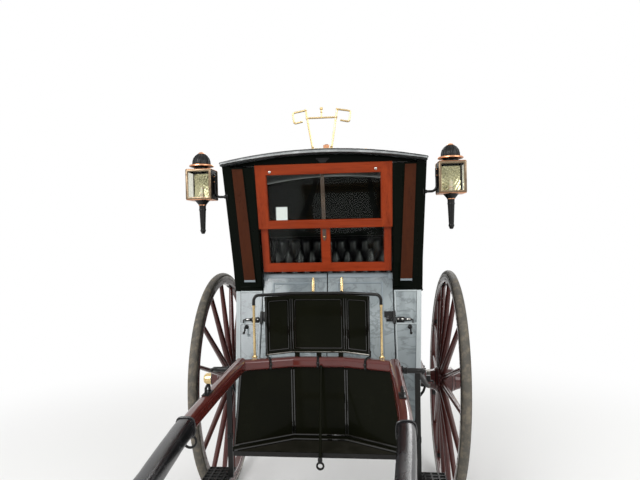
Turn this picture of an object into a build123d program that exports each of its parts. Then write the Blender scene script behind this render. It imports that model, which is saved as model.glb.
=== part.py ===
# A hansom cab: a two-wheeled carriage with a cab for two and the driver's seat high behind it.
# Millimetres, +Z up, the front faces -Y. The origin is on the ground, at the middle of the plan.
from build123d import *
import os
from math import atan2, cos, degrees, radians, sin, tan

os.makedirs("parts", exist_ok=True)

# Reach of the whole carriage, ahead of the axle and behind it.
shaft_reach = 3050
rear_reach = 1000
axle_y = (shaft_reach - rear_reach) / 2
seat_gap = 0.3  # between two pieces that only rest against each other
swing_gap = 6  # between a moving piece and a fixed one
fit_gap = 0.05  # radial clearance of a running fit

# Wheels
wheel_radius = 710
half_track = 728
camber = 2.5  # the wheels lean out at the top
gather = 1.0  # and stand a little closer together in front
tyre_width = 46
tyre_depth = 30
felloe_width = 50
felloe_depth = 48
spoke_count = 16
spoke_root = 44
spoke_tip = 27
spoke_dish = 34
nave_radius = 80
nave_inner = 128
nave_outer = 100
nave_groove = 14  # the narrower ends of the nave
felloe_round = 12
arm_radius = 21
collar_radius = 42
collar_width = 16
cap_radius = 38
cap_length = 55

# Axle and springs
axle_bar = 40
axle_drop = 185
crank_x = 544
crank_bend = 22
crank_run = 70  # how far inside the crank its foot starts
spring_x = 558
spring_width = 44
spring_span = 900
spring_rise = 62
leaf_thickness = 9
leaf_count = 4
shackle_width = 22
shackle_depth = 20
clamp_length = 84
clamp_thickness = 10
rail_z = 890
rail_height = 46
rail_width = 40
rail_front = 500
rail_back = 630

# Cab body
body_half = 528
body_wall = 26
waist_z = 1352
floor_z = 600
floor_thickness = 24
floor_draw_in = 48  # how far each side comes in from the waist to the floor
floor_half = body_half - floor_draw_in
waist_reach = 450
head_reach = 620
toe_z = 700
back_reach = 430
tuck_z = 980
tuck_depth = 90
back_thickness = 22
roof_edge_z = 2068
roof_front_reach = 655
roof_back_reach = 520
roof_overhang = 17  # past each side
roof_half = body_half + roof_overhang
roof_crown = 55
roof_thickness = 22
window_corner = 45
window_front = 330
window_back = 230
window_foot_z = 1450
window_head_z = 1930
peep_width = 90
peep_height = 100
peep_x = 403
peep_z = 1828
trap_width = 330
trap_length = 260
trap_reach_back = 130
trap_thickness = 16
trap_lap = 18

# Front pillars and sashes
pillar_thickness = 44
inset_depth = 5
inset_width = 66
inset_edge = 42
sash_thickness = 22
sash_half = 369
sash_top_z = 2048
sash_meet_z = 1706
sash_foot_z = 1455
upper_stile = 58
upper_head_rail = 52
upper_foot_rail = 42
lower_stile = 36
lower_foot_rail = 46
mullion = 46
glass_thickness = 5

# Seat
seat_front_reach = 40
seat_board_z = 950
seat_board = 20
cushion_thickness = 105
squab_thickness = 85
squab_top_z = 1640
side_squab_top_z = 1440
side_squab_thickness = 55

# Knee doors
door_half = 368
door_thickness = 20
door_top_z = 1448
door_bottom_z = 742  # a fixed sill lies under it
door_lean = 19
hinge_radius = 8
pin_radius = 5
hinge_length = 34
hinge_leaf = 4
hinge_reach = 46
upper_hinge_z = 1205
lower_hinge_rise = 90
door_border = 55
door_sunk = 4

# Dash, cross bar and front panel, folded in three in plan
fold_half = 122
fold_reach = 1000
bar_half = 338
bar_reach = 1112
bar_z = 1105
bar_size = 46
bar_sag = 12
dash_half = 234
clip_width = 22
rail_bend = 24
dash_foot_z = 1135
dash_head_z = 1398
dash_thickness = 14
rail_radius = 7
rod_half = 284
rod_head_z = 1362
panel_foot_z = 735
panel_foot_half = 372
panel_head_half = 342
panel_thickness = 16
foot_moulding = 18
footboard_thickness = 22
brace_x = 12
brace_radius = 6
brace_head_z = 1084
brace_foot_z = 703
ring_radius = 14
ring_wire = 3.5

# Shafts
shaft_z = 1105
shaft_root_width = 50
shaft_tip_width = 34
shaft_root_height = 58
shaft_tip_height = 36
shaft_bow = (  # reach ahead of the axle, half the space between the shafts
    (1100, 336),
    (1500, 336),
    (1700, 333),
    (1850, 325),
    (1970, 314),
    (2100, 301),
    (2250, 290),
    (2450, 281),
    (3050, 270),
)
sleeve_start = 1730
sleeve_end = 2560
sleeve_wall = 5
ferrule_radius = 15
ferrule_length = 45

# Steps
stay_radius = 11
stay_reach = 34  # its upper end lies this far ahead of the cross bar
stay_half = 452
stay_bend = 34
hanger_width = 24
hanger_thickness = 12
step_reach = 900
step_z = 505
step_width = 132
step_length = 170
step_depth = 14
step_bar = 8

# Lamps
lamp_x = 676
lamp_reach = 570
lamp_z = 1957
lamp_width = 134
lamp_height = 160
lamp_depth = 120
lamp_wall = 3
lamp_frame = 10
bracket_radius = 7
bracket_bend = 30
tail_z = 1688

# Rein guide
guide_reach = 610
guide_half = 50
guide_rod = 5
guide_horn = (  # out from the foot of the horn, height above the roof
    (34, 212),
    (104, 200),
    (97, 143),
    (50, 153),
)
guide_cross = 170
guide_stem = 218
guide_ball = 9

# Driver's seat
perch_z = 2150
perch_half = 250
perch_depth = 330
perch_iron_x = 190
perch_iron_size = 26
perch_iron_bend = 90
perch_iron_low_z = 1180
perch_foot_z = 1640
perch_foot_end = 680
perch_board = 26
rest_height = 200
rest_radius = 8
rest_y = -rear_reach + 22  # of the hoop behind the driver, ahead of the axle
rest_front = -rear_reach + 190
socket_radius = 19
socket_bore = 14
socket_length = 130

# Stand under the shafts
stand_reach = 2680
stand_half = 420
stand_beam = 70
stand_spread = 260
leg_width = 44
stretcher_z = 340


def at(reach_ahead):
    """Y of a place that lies this far ahead of the axle."""
    return axle_y - reach_ahead


def save(piece, name):
    piece.part.label = name
    export_step(piece.part, f"parts/{name}.step")


SIDES = ((-1, "left"), (1, "right"))


hub_z = wheel_radius * cos(radians(camber))
body_inner = body_half - body_wall
floor_inner = floor_half - body_wall
under_z = roof_edge_z - roof_thickness
roof_radius = (roof_half**2 + roof_crown**2) / (2 * roof_crown)


def roof_rise(x):
    """Height of the crowned roof at x, above its edge."""
    return (roof_radius**2 - x**2) ** 0.5 - (roof_radius - roof_crown)


def half_at(z, wall=0):
    """Half width of the cab at a height: upright above the waist, drawn in below it."""
    share = max(0, (waist_z - z) / (waist_z - floor_z))
    return body_half - share * (body_half - floor_half) - wall


window_lean = degrees(atan2(head_reach - waist_reach, under_z - waist_z))
window_slope = tan(radians(window_lean))
window_out = Vector(0, -cos(radians(window_lean)), -sin(radians(window_lean)))
window_plane = Plane(origin=(0, at(waist_reach), waist_z), x_dir=(1, 0, 0), z_dir=window_out)
door_up = Vector(0, sin(radians(door_lean)), cos(radians(door_lean)))
door_out = Vector(0, -cos(radians(door_lean)), sin(radians(door_lean)))
door_plane = Plane(origin=(0, at(waist_reach), waist_z), x_dir=(1, 0, 0), z_dir=door_out)
toe_reach = waist_reach + (waist_z - toe_z) * tan(radians(door_lean))


def window_v(z):
    """Place along the leaning window plane of a height."""
    return (z - waist_z) / cos(radians(window_lean))


def door_v(z):
    """Place along the leaning door plane of a height."""
    return (z - waist_z) / cos(radians(door_lean))


def wheel_axis(side):
    """Direction of the axle arm, out from the body: it droops by the camber and points ahead."""
    flat = cos(radians(camber))
    return Vector(side * flat * cos(radians(gather)), -flat * sin(radians(gather)), -sin(radians(camber)))


def wheel_profile_plane(side):
    """Plane through the arm: local x runs outward along it, local y runs away from it."""
    outward = wheel_axis(side)
    up = (Vector(0, 0, 1) - outward * outward.Z).normalized()
    hub = Vector(side * half_track, axle_y, hub_z)
    return Plane(origin=hub, x_dir=outward, z_dir=outward.cross(up))


# Wheels: a rubber tyre, a dished wheel with its nave, and the brass cap with its steel collar
for side, hand in SIDES:
    plane = wheel_profile_plane(side)
    spin = Axis(plane.origin, plane.x_dir)
    felloe_top = wheel_radius - tyre_depth
    felloe_foot = felloe_top - felloe_depth

    with BuildPart() as tyre:
        with BuildSketch(plane):
            with BuildLine():
                Polyline(
                    (-tyre_width / 2, felloe_top),
                    (-tyre_width / 2, felloe_top + tyre_depth / 2),
                )
                ThreePointArc(
                    (-tyre_width / 2, felloe_top + tyre_depth / 2),
                    (0, wheel_radius),
                    (tyre_width / 2, felloe_top + tyre_depth / 2),
                )
                Polyline(
                    (tyre_width / 2, felloe_top + tyre_depth / 2),
                    (tyre_width / 2, felloe_top),
                    (-tyre_width / 2, felloe_top),
                )
            make_face()
        revolve(axis=spin)
    save(tyre, f"tyre_{hand}")

    nave_profile = (
        (-nave_inner, arm_radius + fit_gap),
        (-nave_inner, nave_radius - 2 * nave_groove),
        (-nave_inner * 0.62, nave_radius - nave_groove),
        (-nave_inner * 0.50, nave_radius),
        (nave_outer * 0.30, nave_radius),
        (nave_outer * 0.45, nave_radius - nave_groove),
        (nave_outer, nave_radius - 2.4 * nave_groove),
        (nave_outer, arm_radius + fit_gap),
    )
    with BuildPart() as wheel:
        with BuildSketch(plane):
            with BuildLine():
                Polyline(*nave_profile, close=True)
            make_face()
        revolve(axis=spin)
        with BuildSketch(plane):
            with Locations((0, (felloe_top + felloe_foot) / 2)):
                RectangleRounded(felloe_width, felloe_depth, felloe_round)
        revolve(axis=spin)
        for turn in range(spoke_count):
            radial = plane.y_dir.rotate(Axis((0, 0, 0), plane.x_dir), 360 * turn / spoke_count)
            root = plane.origin + radial * (nave_radius - spoke_root / 4) - plane.x_dir * spoke_dish
            tip = plane.origin + radial * (felloe_foot + spoke_tip / 4)
            along = (tip - root).normalized()
            with BuildSketch(Plane(origin=root, x_dir=plane.x_dir, z_dir=along)):
                Ellipse(spoke_root / 2, spoke_root * 0.36)
            with BuildSketch(Plane(origin=tip, x_dir=plane.x_dir, z_dir=along)):
                Ellipse(spoke_tip / 2, spoke_tip * 0.42)
            loft(ruled=True)
    save(wheel, f"wheel_{hand}")

    with BuildPart() as cap:
        with BuildSketch(plane):
            with BuildLine():
                Polyline(
                    (nave_outer, 0),
                    (nave_outer, cap_radius),
                    (nave_outer + cap_length * 0.75, cap_radius * 0.94),
                    (nave_outer + cap_length, cap_radius * 0.72),
                    (nave_outer + cap_length, 0),
                    close=True,
                )
            make_face()
        revolve(axis=spin)
    save(cap, f"hub_cap_{hand}")

# Axle: cranked under the body, with an arm through each nave and a collar inside it
with BuildPart() as axle:
    low_z = hub_z - axle_drop
    arm_inner = nave_inner + collar_width + 4
    for side, hand in SIDES:
        plane = wheel_profile_plane(side)
        inner = plane.origin - plane.x_dir * arm_inner
        with BuildSketch(Plane(origin=inner, x_dir=plane.z_dir, z_dir=plane.x_dir)):
            Circle(arm_radius)
        extrude(amount=arm_inner + nave_outer - 2)
        with BuildSketch(Plane(origin=inner, x_dir=plane.z_dir, z_dir=plane.x_dir)):
            Circle(collar_radius)
        extrude(amount=collar_width)
        with BuildLine() as crank:
            FilletPolyline(
                (0, axle_y, low_z),
                (side * (crank_x - crank_run), axle_y, low_z),
                (side * crank_x, axle_y, inner.Z),
                (inner.X + side * 4, axle_y, inner.Z),
                radius=crank_bend,
            )
        with BuildSketch(Plane(origin=(0, axle_y, low_z), x_dir=(0, 1, 0), z_dir=(side, 0, 0))):
            RectangleRounded(axle_bar, axle_bar, 8)
        sweep(path=crank.wires()[0])
save(axle, "axle")


# Cab: the section through it, its side elevation, and the panels cut from the two
def section_face(wall, top):
    """The cab seen from the front, this far inside its skin and up to this height at the edge."""
    foot = floor_half - wall
    side = body_half - wall
    crown = top + roof_rise(0) - roof_rise(side)
    with BuildSketch(Plane.XZ) as section:
        with BuildLine():
            Polyline(
                (-side, top),
                (-side, waist_z),
                (-foot, floor_z),
                (foot, floor_z),
                (side, waist_z),
                (side, top),
            )
            ThreePointArc((side, top), (0, crown), (-side, top))
        make_face()
    return section.sketch


skin_top = under_z + roof_rise(body_half) - seat_gap

for side, hand in SIDES:
    with BuildPart() as wall:
        with BuildSketch(Plane.XZ.offset(-at(-back_reach))):
            with BuildLine():
                Polyline(
                    (side * body_half, skin_top),
                    (side * body_half, waist_z),
                    (side * floor_half, floor_z),
                    (side * floor_inner, floor_z),
                    (side * body_inner, waist_z),
                    (side * body_inner, skin_top),
                    close=True,
                )
            make_face()
        extrude(amount=back_reach + roof_front_reach + toe_reach)
        with BuildSketch(Plane.YZ):
            with BuildLine():
                Polyline(
                    (at(-back_reach), tuck_z),
                    (at(-back_reach), skin_top),
                    (at(waist_reach + (skin_top - waist_z) * tan(radians(window_lean))), skin_top),
                    (at(waist_reach), waist_z),
                    (at(toe_reach), toe_z),
                    (at(toe_reach), floor_z),
                    (at(-back_reach + tuck_depth), floor_z),
                )
                ThreePointArc(
                    (at(-back_reach + tuck_depth), floor_z),
                    (at(-back_reach + tuck_depth * 0.2), (floor_z + tuck_z) / 2),
                    (at(-back_reach), tuck_z),
                )
            make_face()
        extrude(amount=body_half + 10, both=True, mode=Mode.INTERSECT)
        with BuildSketch(Plane.YZ):
            with BuildLine():
                lean = tan(radians(window_lean))
                low_front = at(window_front)
                high_front = at(window_front + (window_head_z - window_foot_z) * lean)
                FilletPolyline(
                    (low_front, window_foot_z),
                    (at(-window_back), window_foot_z),
                    (at(-window_back), window_head_z),
                    (high_front, window_head_z),
                    radius=window_corner,
                    close=True,
                )
            make_face()
        extrude(amount=side * (body_half + 10), mode=Mode.SUBTRACT)
    save(wall, f"cab_side_{hand}")

with BuildPart() as back:
    with BuildSketch(Plane.YZ):
        with BuildLine():
            outer = -back_reach
            inner = -back_reach + back_thickness
            Polyline(
                (at(inner), tuck_z),
                (at(inner), 2 * under_z - waist_z),
                (at(outer), 2 * under_z - waist_z),
                (at(outer), tuck_z),
            )
            ThreePointArc(
                (at(outer), tuck_z),
                (at(outer + tuck_depth * 0.2), (floor_z + tuck_z) / 2),
                (at(outer + tuck_depth), floor_z),
            )
            Polyline((at(outer + tuck_depth), floor_z), (at(inner + tuck_depth), floor_z))
            ThreePointArc(
                (at(inner + tuck_depth), floor_z),
                (at(inner + tuck_depth * 0.2), (floor_z + tuck_z) / 2),
                (at(inner), tuck_z),
            )
        make_face()
    extrude(amount=body_half, both=True)
    inside = section_face(body_wall + seat_gap, skin_top)
    extrude(inside, amount=3 * shaft_reach, both=True, mode=Mode.INTERSECT)
    with BuildSketch(Plane.XZ.offset(-at(-back_reach))):
        with Locations((-peep_x, peep_z), (peep_x, peep_z)):
            Rectangle(peep_width, peep_height)
    extrude(amount=back_thickness * 2, both=True, mode=Mode.SUBTRACT)
save(back, "cab_back")

toe_board_z = toe_z - door_thickness * sin(radians(door_lean)) - seat_gap
with BuildPart() as floor:
    with BuildSketch(Plane.YZ):
        with BuildLine():
            Polyline(
                (at(toe_reach), floor_z),
                (at(-back_reach + tuck_depth + back_thickness + seat_gap), floor_z),
                (at(-back_reach + tuck_depth + back_thickness + seat_gap), floor_z + floor_thickness),
                (at(toe_reach - back_thickness), floor_z + floor_thickness),
                (at(toe_reach - back_thickness), toe_board_z),
                (at(toe_reach), toe_board_z),
                close=True,
            )
        make_face()
    extrude(amount=body_half, both=True)
    inside = section_face(body_wall + seat_gap, skin_top)
    extrude(inside, amount=3 * shaft_reach, both=True, mode=Mode.INTERSECT)
save(floor, "cab_floor")

# Roof: a crowned board with the hatch opening near its back edge
with BuildPart() as roof:
    with BuildSketch(Plane.XZ.offset(-at(-roof_back_reach))):
        with BuildLine():
            Line((-roof_half, under_z), (-roof_half, roof_edge_z))
            ThreePointArc(
                (-roof_half, roof_edge_z),
                (0, roof_edge_z + roof_crown),
                (roof_half, roof_edge_z),
            )
            Line((roof_half, roof_edge_z), (roof_half, under_z))
            ThreePointArc((roof_half, under_z), (0, under_z + roof_crown), (-roof_half, under_z))
        make_face()
    extrude(amount=roof_back_reach + roof_front_reach)
    with BuildSketch(Plane.XY.offset(under_z)):
        with Locations((0, at(-trap_reach_back))):
            Rectangle(trap_width, trap_length)
    extrude(amount=3 * roof_crown, mode=Mode.SUBTRACT)
save(roof, "roof")

# Front pillars with their sunk panels, and the arched header above the sashes
with BuildPart() as pillars:
    with BuildSketch(window_plane):
        for side, hand in SIDES:
            with BuildLine():
                Polyline(
                    (side * (sash_half + 0.5), 0),
                    (side * (body_inner - seat_gap), 0),
                    (side * (body_inner - seat_gap), window_v(under_z) - 10),
                    (side * (sash_half + 0.5), window_v(under_z) - 10),
                    close=True,
                )
            make_face()
    extrude(amount=-pillar_thickness)
    with BuildSketch(window_plane):
        for side, hand in SIDES:
            with Locations((side * (body_half - inset_edge - inset_width / 2), window_v(under_z) / 2 + 8)):
                Rectangle(inset_width, window_v(under_z) - 120)
    extrude(amount=-inset_depth, mode=Mode.SUBTRACT)
    with BuildSketch(Plane.XZ.offset(-at(head_reach - 46))):
        with BuildLine():
            edge = body_inner - seat_gap
            low = sash_top_z + 4
            high = under_z + roof_rise(edge) - seat_gap
            Polyline((-edge, high), (-edge, low), (edge, low), (edge, high))
            ThreePointArc((edge, high), (0, under_z + roof_crown - seat_gap), (-edge, high))
        make_face()
    extrude(amount=20)
save(pillars, "front_pillars")


def sash(plane, half, foot, head, stile, foot_rail, head_rail, mullion_width):
    """Sash frame in a plane, from its foot to its head, with one light or two."""
    with BuildPart() as frame:
        with BuildSketch(plane):
            with Locations((0, (foot + head) / 2)):
                Rectangle(2 * half, head - foot)
            lights = 2 if mullion_width else 1
            light_width = (2 * (half - stile) - mullion_width) / lights
            light_height = head - foot - foot_rail - head_rail
            middle = foot + foot_rail + light_height / 2
            with Locations((0, middle)):
                with GridLocations(light_width + mullion_width, 0, lights, 1):
                    Rectangle(light_width, light_height, mode=Mode.SUBTRACT)
        extrude(amount=-sash_thickness)
    return frame


upper_plane = window_plane.offset(-2)
lower_plane = window_plane.offset(-2 - sash_thickness - 0.5)
upper_sash = sash(
    upper_plane, sash_half, window_v(sash_meet_z), window_v(sash_top_z),
    upper_stile, upper_foot_rail, upper_head_rail, 0,
)
save(upper_sash, "sash_upper")
lower_head = window_v(sash_meet_z) + upper_foot_rail * 0.4
lower_sash = sash(
    lower_plane, sash_half - 6, window_v(sash_foot_z), lower_head,
    lower_stile, lower_foot_rail, upper_foot_rail * 0.4, mullion,
)
save(lower_sash, "sash_lower")

with BuildPart() as glass:
    for plane, half, foot, head in (
        (
            upper_plane,
            sash_half - upper_stile,
            window_v(sash_meet_z) + upper_foot_rail,
            window_v(sash_top_z) - upper_head_rail,
        ),
        (
            lower_plane,
            sash_half - 6 - lower_stile,
            window_v(sash_foot_z) + lower_foot_rail,
            lower_head - upper_foot_rail * 0.4,
        ),
    ):
        gap = 0 if plane is upper_plane else mullion + 2 * seat_gap
        with BuildSketch(plane.offset(-(sash_thickness - glass_thickness) / 2)):
            with Locations((0, (foot + head) / 2)):
                Rectangle(2 * (half - seat_gap), head - foot - 2 * seat_gap)
                if gap:
                    Rectangle(gap, head - foot, mode=Mode.SUBTRACT)
        extrude(amount=-glass_thickness)
    for side, hand in SIDES:
        with BuildSketch(Plane.YZ.offset(side * (body_half - body_wall / 2))):
            with BuildLine():
                FilletPolyline(
                    (at(window_front) + seat_gap, window_foot_z + seat_gap),
                    (at(-window_back) - seat_gap, window_foot_z + seat_gap),
                    (at(-window_back) - seat_gap, window_head_z - seat_gap),
                    (
                        at(window_front + (window_head_z - window_foot_z) * window_slope) + seat_gap,
                        window_head_z - seat_gap,
                    ),
                    radius=window_corner,
                    close=True,
                )
            make_face()
        extrude(amount=side * glass_thickness)
    with BuildSketch(Plane.XZ.offset(-at(-back_reach + back_thickness / 2))):
        with Locations((-peep_x, peep_z), (peep_x, peep_z)):
            Rectangle(peep_width - 2 * seat_gap, peep_height - 2 * seat_gap)
    extrude(amount=glass_thickness)
save(glass, "window_glass")

# Hatch lid over the seat, hinged along its front edge
lid_under_z = roof_edge_z + roof_crown + seat_gap
with BuildPart() as trap:
    with BuildSketch(Plane.XY.offset(lid_under_z)):
        with Locations((0, at(-trap_reach_back))):
            RectangleRounded(trap_width + 2 * trap_lap, trap_length + 2 * trap_lap, 14)
    extrude(amount=trap_thickness)
    with BuildSketch(Plane.XY.offset(lid_under_z + trap_thickness)):
        with Locations((0, at(-trap_reach_back))):
            RectangleRounded(trap_width - trap_lap, trap_length - trap_lap, 10)
    extrude(amount=6)
save(trap, "hatch_lid")

# Quarter panels beside the doors, and the knee doors
with BuildPart() as quarters:
    for side, hand in SIDES:
        with BuildSketch(door_plane):
            with BuildLine():
                edge = door_half + swing_gap
                foot_edge = half_at(toe_z, body_wall) - seat_gap - 1
                Polyline(
                    (side * edge, 0),
                    (side * (body_inner - seat_gap - 1), 0),
                    (side * foot_edge, door_v(toe_z)),
                    (side * edge, door_v(toe_z)),
                    close=True,
                )
            make_face()
    extrude(amount=-door_thickness)
    with BuildSketch(door_plane):
        sill_v = door_v(door_bottom_z) - swing_gap
        with Locations((0, (door_v(toe_z) + sill_v) / 2)):
            Rectangle(2 * (door_half + swing_gap), sill_v - door_v(toe_z))
    extrude(amount=-door_thickness)
save(quarters, "quarter_panels")

hinge_line = hinge_radius + 0.4
door_foot_v = door_v(door_bottom_z)
door_head_v = door_v(door_top_z)
hinge_vs = (door_v(upper_hinge_z), door_foot_v + lower_hinge_rise)
for side, hand in SIDES:
    with BuildPart() as door:
        with BuildSketch(door_plane):
            with BuildLine():
                Polyline(
                    (side * swing_gap / 2, door_foot_v),
                    (side * door_half, door_foot_v),
                    (side * door_half, door_head_v),
                    (side * swing_gap / 2, door_head_v),
                    close=True,
                )
            make_face()
        extrude(amount=-door_thickness)
        with BuildSketch(door_plane):
            with Locations((side * (door_half + swing_gap / 2) / 2, (door_foot_v + door_head_v) / 2)):
                Rectangle(door_half - 2 * door_border, door_head_v - door_foot_v - 2 * door_border)
        extrude(amount=-door_sunk, mode=Mode.SUBTRACT)
    save(door, f"door_{hand}")

    hinge_x = side * (door_half + swing_gap / 2)
    with BuildPart() as irons:
        for v in hinge_vs:
            start = door_plane.from_local_coords((hinge_x, v + seat_gap, hinge_line))
            with BuildSketch(Plane(origin=start, x_dir=(1, 0, 0), z_dir=door_up)):
                Circle(hinge_radius)
                with Locations((-side * (hinge_radius + hinge_reach) / 2, hinge_line - hinge_leaf / 2)):
                    Rectangle(hinge_radius + hinge_reach, hinge_leaf)
                Circle(pin_radius + fit_gap, mode=Mode.SUBTRACT)
            extrude(amount=hinge_length)
    save(irons, f"door_hinges_{hand}")

with BuildPart() as pins:
    for side, hand in SIDES:
        hinge_x = side * (door_half + swing_gap / 2)
        for v in hinge_vs:
            start = door_plane.from_local_coords((hinge_x, v - hinge_length, hinge_line))
            with BuildSketch(Plane(origin=start, x_dir=(1, 0, 0), z_dir=door_up)):
                Circle(hinge_radius)
                with Locations((side * (hinge_radius + hinge_reach) / 2, hinge_line - hinge_leaf / 2)):
                    Rectangle(hinge_radius + hinge_reach, hinge_leaf)
            extrude(amount=hinge_length)
            with BuildSketch(Plane(origin=start, x_dir=(1, 0, 0), z_dir=door_up)):
                Circle(pin_radius)
            extrude(amount=2 * hinge_length + 3)
save(pins, "quarter_hinges")

# Seat: a board on its front panel, the cushion, the buttoned squab and the two side squabs
seat_back_reach = -back_reach + back_thickness
with BuildPart() as seat_board_piece:
    with BuildSketch(Plane.YZ):
        with BuildLine():
            Polyline(
                (at(seat_front_reach), floor_z + floor_thickness + seat_gap),
                (at(seat_front_reach), seat_board_z),
                (at(seat_back_reach + seat_gap), seat_board_z),
                (at(seat_back_reach + seat_gap), seat_board_z - seat_board),
                (at(seat_front_reach - seat_board), seat_board_z - seat_board),
                (at(seat_front_reach - seat_board), floor_z + floor_thickness + seat_gap),
                close=True,
            )
        make_face()
    extrude(amount=body_half, both=True)
    inside = section_face(body_wall + seat_gap, skin_top)
    extrude(inside, amount=3 * shaft_reach, both=True, mode=Mode.INTERSECT)
save(seat_board_piece, "seat_board")

cushion_half = half_at(seat_board_z, body_wall) - side_squab_thickness / 3
cushion_depth = seat_front_reach - seat_back_reach - squab_thickness
cushion_middle = at((seat_front_reach + seat_back_reach + squab_thickness) / 2)
with BuildPart() as cushion:
    with BuildSketch(Plane.XY.offset(seat_board_z + seat_gap)):
        with Locations((0, cushion_middle)):
            RectangleRounded(2 * cushion_half - 20, cushion_depth - 2, 30)
    extrude(amount=cushion_thickness)
    fillet(cushion.faces().sort_by(Axis.Z)[-1].edges(), 22)
save(cushion, "seat_cushion")

with BuildPart() as squab:
    with BuildSketch(Plane.XZ.offset(-at(seat_back_reach + seat_gap))):
        with Locations((0, (seat_board_z + squab_top_z) / 2 + 1)):
            RectangleRounded(2 * (body_inner - 24), squab_top_z - seat_board_z - 2, 40)
    extrude(amount=squab_thickness - 1)
    fillet(squab.faces().sort_by(Axis.Y)[0].edges(), 24)
save(squab, "seat_squab")

with BuildPart() as side_squabs:
    for side, hand in SIDES:
        foot = seat_board_z + cushion_thickness + 4
        with BuildSketch(Plane.YZ.offset(side * (half_at(foot, body_wall) - 0.5))):
            with Locations((cushion_middle, (foot + side_squab_top_z) / 2)):
                RectangleRounded(cushion_depth - 6, side_squab_top_z - foot, 30)
        extrude(amount=-side * side_squab_thickness)
save(side_squabs, "side_squabs")


def folded_band(z, half, thickness, ahead=0):
    """Plan of a panel folded in three: straight across the middle, its wings swept forward."""
    end = fold_reach + (half - fold_half) * (bar_reach - fold_reach) / (bar_half - fold_half)
    front = [(-half, end), (-fold_half, fold_reach), (fold_half, fold_reach), (half, end)]
    back = [(x, reach - thickness) for x, reach in reversed(front)]
    with BuildSketch(Plane.XY.offset(z)) as band:
        with BuildLine():
            Polyline(*[(x, at(reach + ahead)) for x, reach in front + back], close=True)
        make_face()
    return band.sketch


# Dash with its clips, the folded front panel under the cross bar with its brace, and the footboard
wing_slope = (bar_reach - fold_reach) / (bar_half - fold_half)
front_edge_reach = fold_reach + (panel_foot_half - fold_half) * wing_slope + 3
with BuildPart() as dash:
    extrude(folded_band(dash_foot_z, dash_half, dash_thickness), amount=dash_head_z - dash_foot_z)
    for z in (dash_foot_z, dash_head_z - 16):
        extrude(folded_band(z, dash_half, dash_thickness, 5), amount=16)
    clip_z = bar_z - bar_sag + bar_size / 2 + seat_gap
    for x in (clip_width - fold_half, 0, fold_half - clip_width):
        with BuildSketch(Plane.XY.offset(clip_z)):
            with Locations((x, at(fold_reach - dash_thickness / 2))):
                Rectangle(clip_width, dash_thickness)
        extrude(amount=dash_foot_z - clip_z + 1)
save(dash, "dash")

with BuildPart() as panel:
    extrude(folded_band(panel_foot_z, panel_foot_half, panel_thickness), amount=bar_z - panel_foot_z)
    bar_under = bar_z - bar_size / 2 - 2
    shaft_under = shaft_z - shaft_root_height / 2 - 1
    inside_shaft = bar_half - shaft_root_width / 2 - 2
    with BuildSketch(Plane.XZ):
        with BuildLine():
            Polyline(
                (-panel_foot_half, panel_foot_z),
                (panel_foot_half, panel_foot_z),
                (panel_head_half, shaft_under),
                (inside_shaft, shaft_under),
                (inside_shaft, bar_under),
                (fold_half, bar_under + 1.5 - bar_sag),
                (-fold_half, bar_under + 1.5 - bar_sag),
                (-inside_shaft, bar_under),
                (-inside_shaft, shaft_under),
                (-panel_head_half, shaft_under),
                close=True,
            )
        make_face()
    extrude(amount=shaft_reach, both=True, mode=Mode.INTERSECT)
    extrude(folded_band(panel_foot_z, panel_foot_half, panel_thickness, 8), amount=foot_moulding)
    brace_head = Vector(brace_x, at(fold_reach + bar_size / 2 + brace_radius), brace_head_z)
    brace_foot = Vector(brace_x, at(front_edge_reach + 4 * brace_radius), brace_foot_z)
    with BuildSketch(Plane(origin=brace_head, z_dir=brace_foot - brace_head)):
        Circle(brace_radius)
    extrude(amount=(brace_foot - brace_head).length)
    with BuildSketch(Plane.XZ.offset(-brace_foot.Y)):
        with Locations((brace_x, brace_foot_z - ring_radius)):
            Circle(ring_radius + ring_wire)
            Circle(ring_radius - ring_wire, mode=Mode.SUBTRACT)
    extrude(amount=ring_wire, both=True)
save(panel, "front_panel")

with BuildPart() as footboard:
    with BuildSketch(Plane.XY.offset(panel_foot_z - seat_gap)):
        with BuildLine():
            Polyline(
                (-panel_foot_half, at(toe_reach + 1)),
                (-panel_foot_half, at(front_edge_reach)),
                (panel_foot_half, at(front_edge_reach)),
                (panel_foot_half, at(toe_reach + 1)),
                close=True,
            )
        make_face()
    extrude(amount=-footboard_thickness)
save(footboard, "footboard")


def shaft_section(reach):
    """Half spacing, width and height of a shaft where it lies this far ahead of the axle."""
    for (near, near_half), (far, far_half) in zip(shaft_bow, shaft_bow[1:]):
        if reach <= far:
            break
    half = near_half + (far_half - near_half) * (reach - near) / (far - near)
    share = (reach - bar_reach) / (shaft_reach - bar_reach)
    width = shaft_root_width + share * (shaft_tip_width - shaft_root_width)
    height = shaft_root_height + share * (shaft_tip_height - shaft_root_height)
    return half, width, height


def shaft_length(side, start, end, grow):
    """One length of shaft between two stations, grown all round."""
    between = [reach for reach, half in shaft_bow if start < reach < end]
    with BuildPart() as length:
        for reach in [start] + between + [end]:
            half, width, height = shaft_section(reach)
            with BuildSketch(Plane.XZ.offset(-at(reach))):
                with Locations((side * half, shaft_z)):
                    RectangleRounded(width + 2 * grow, height + 2 * grow, 0.4 * width)
        loft(ruled=True)
    return length.part


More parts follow.
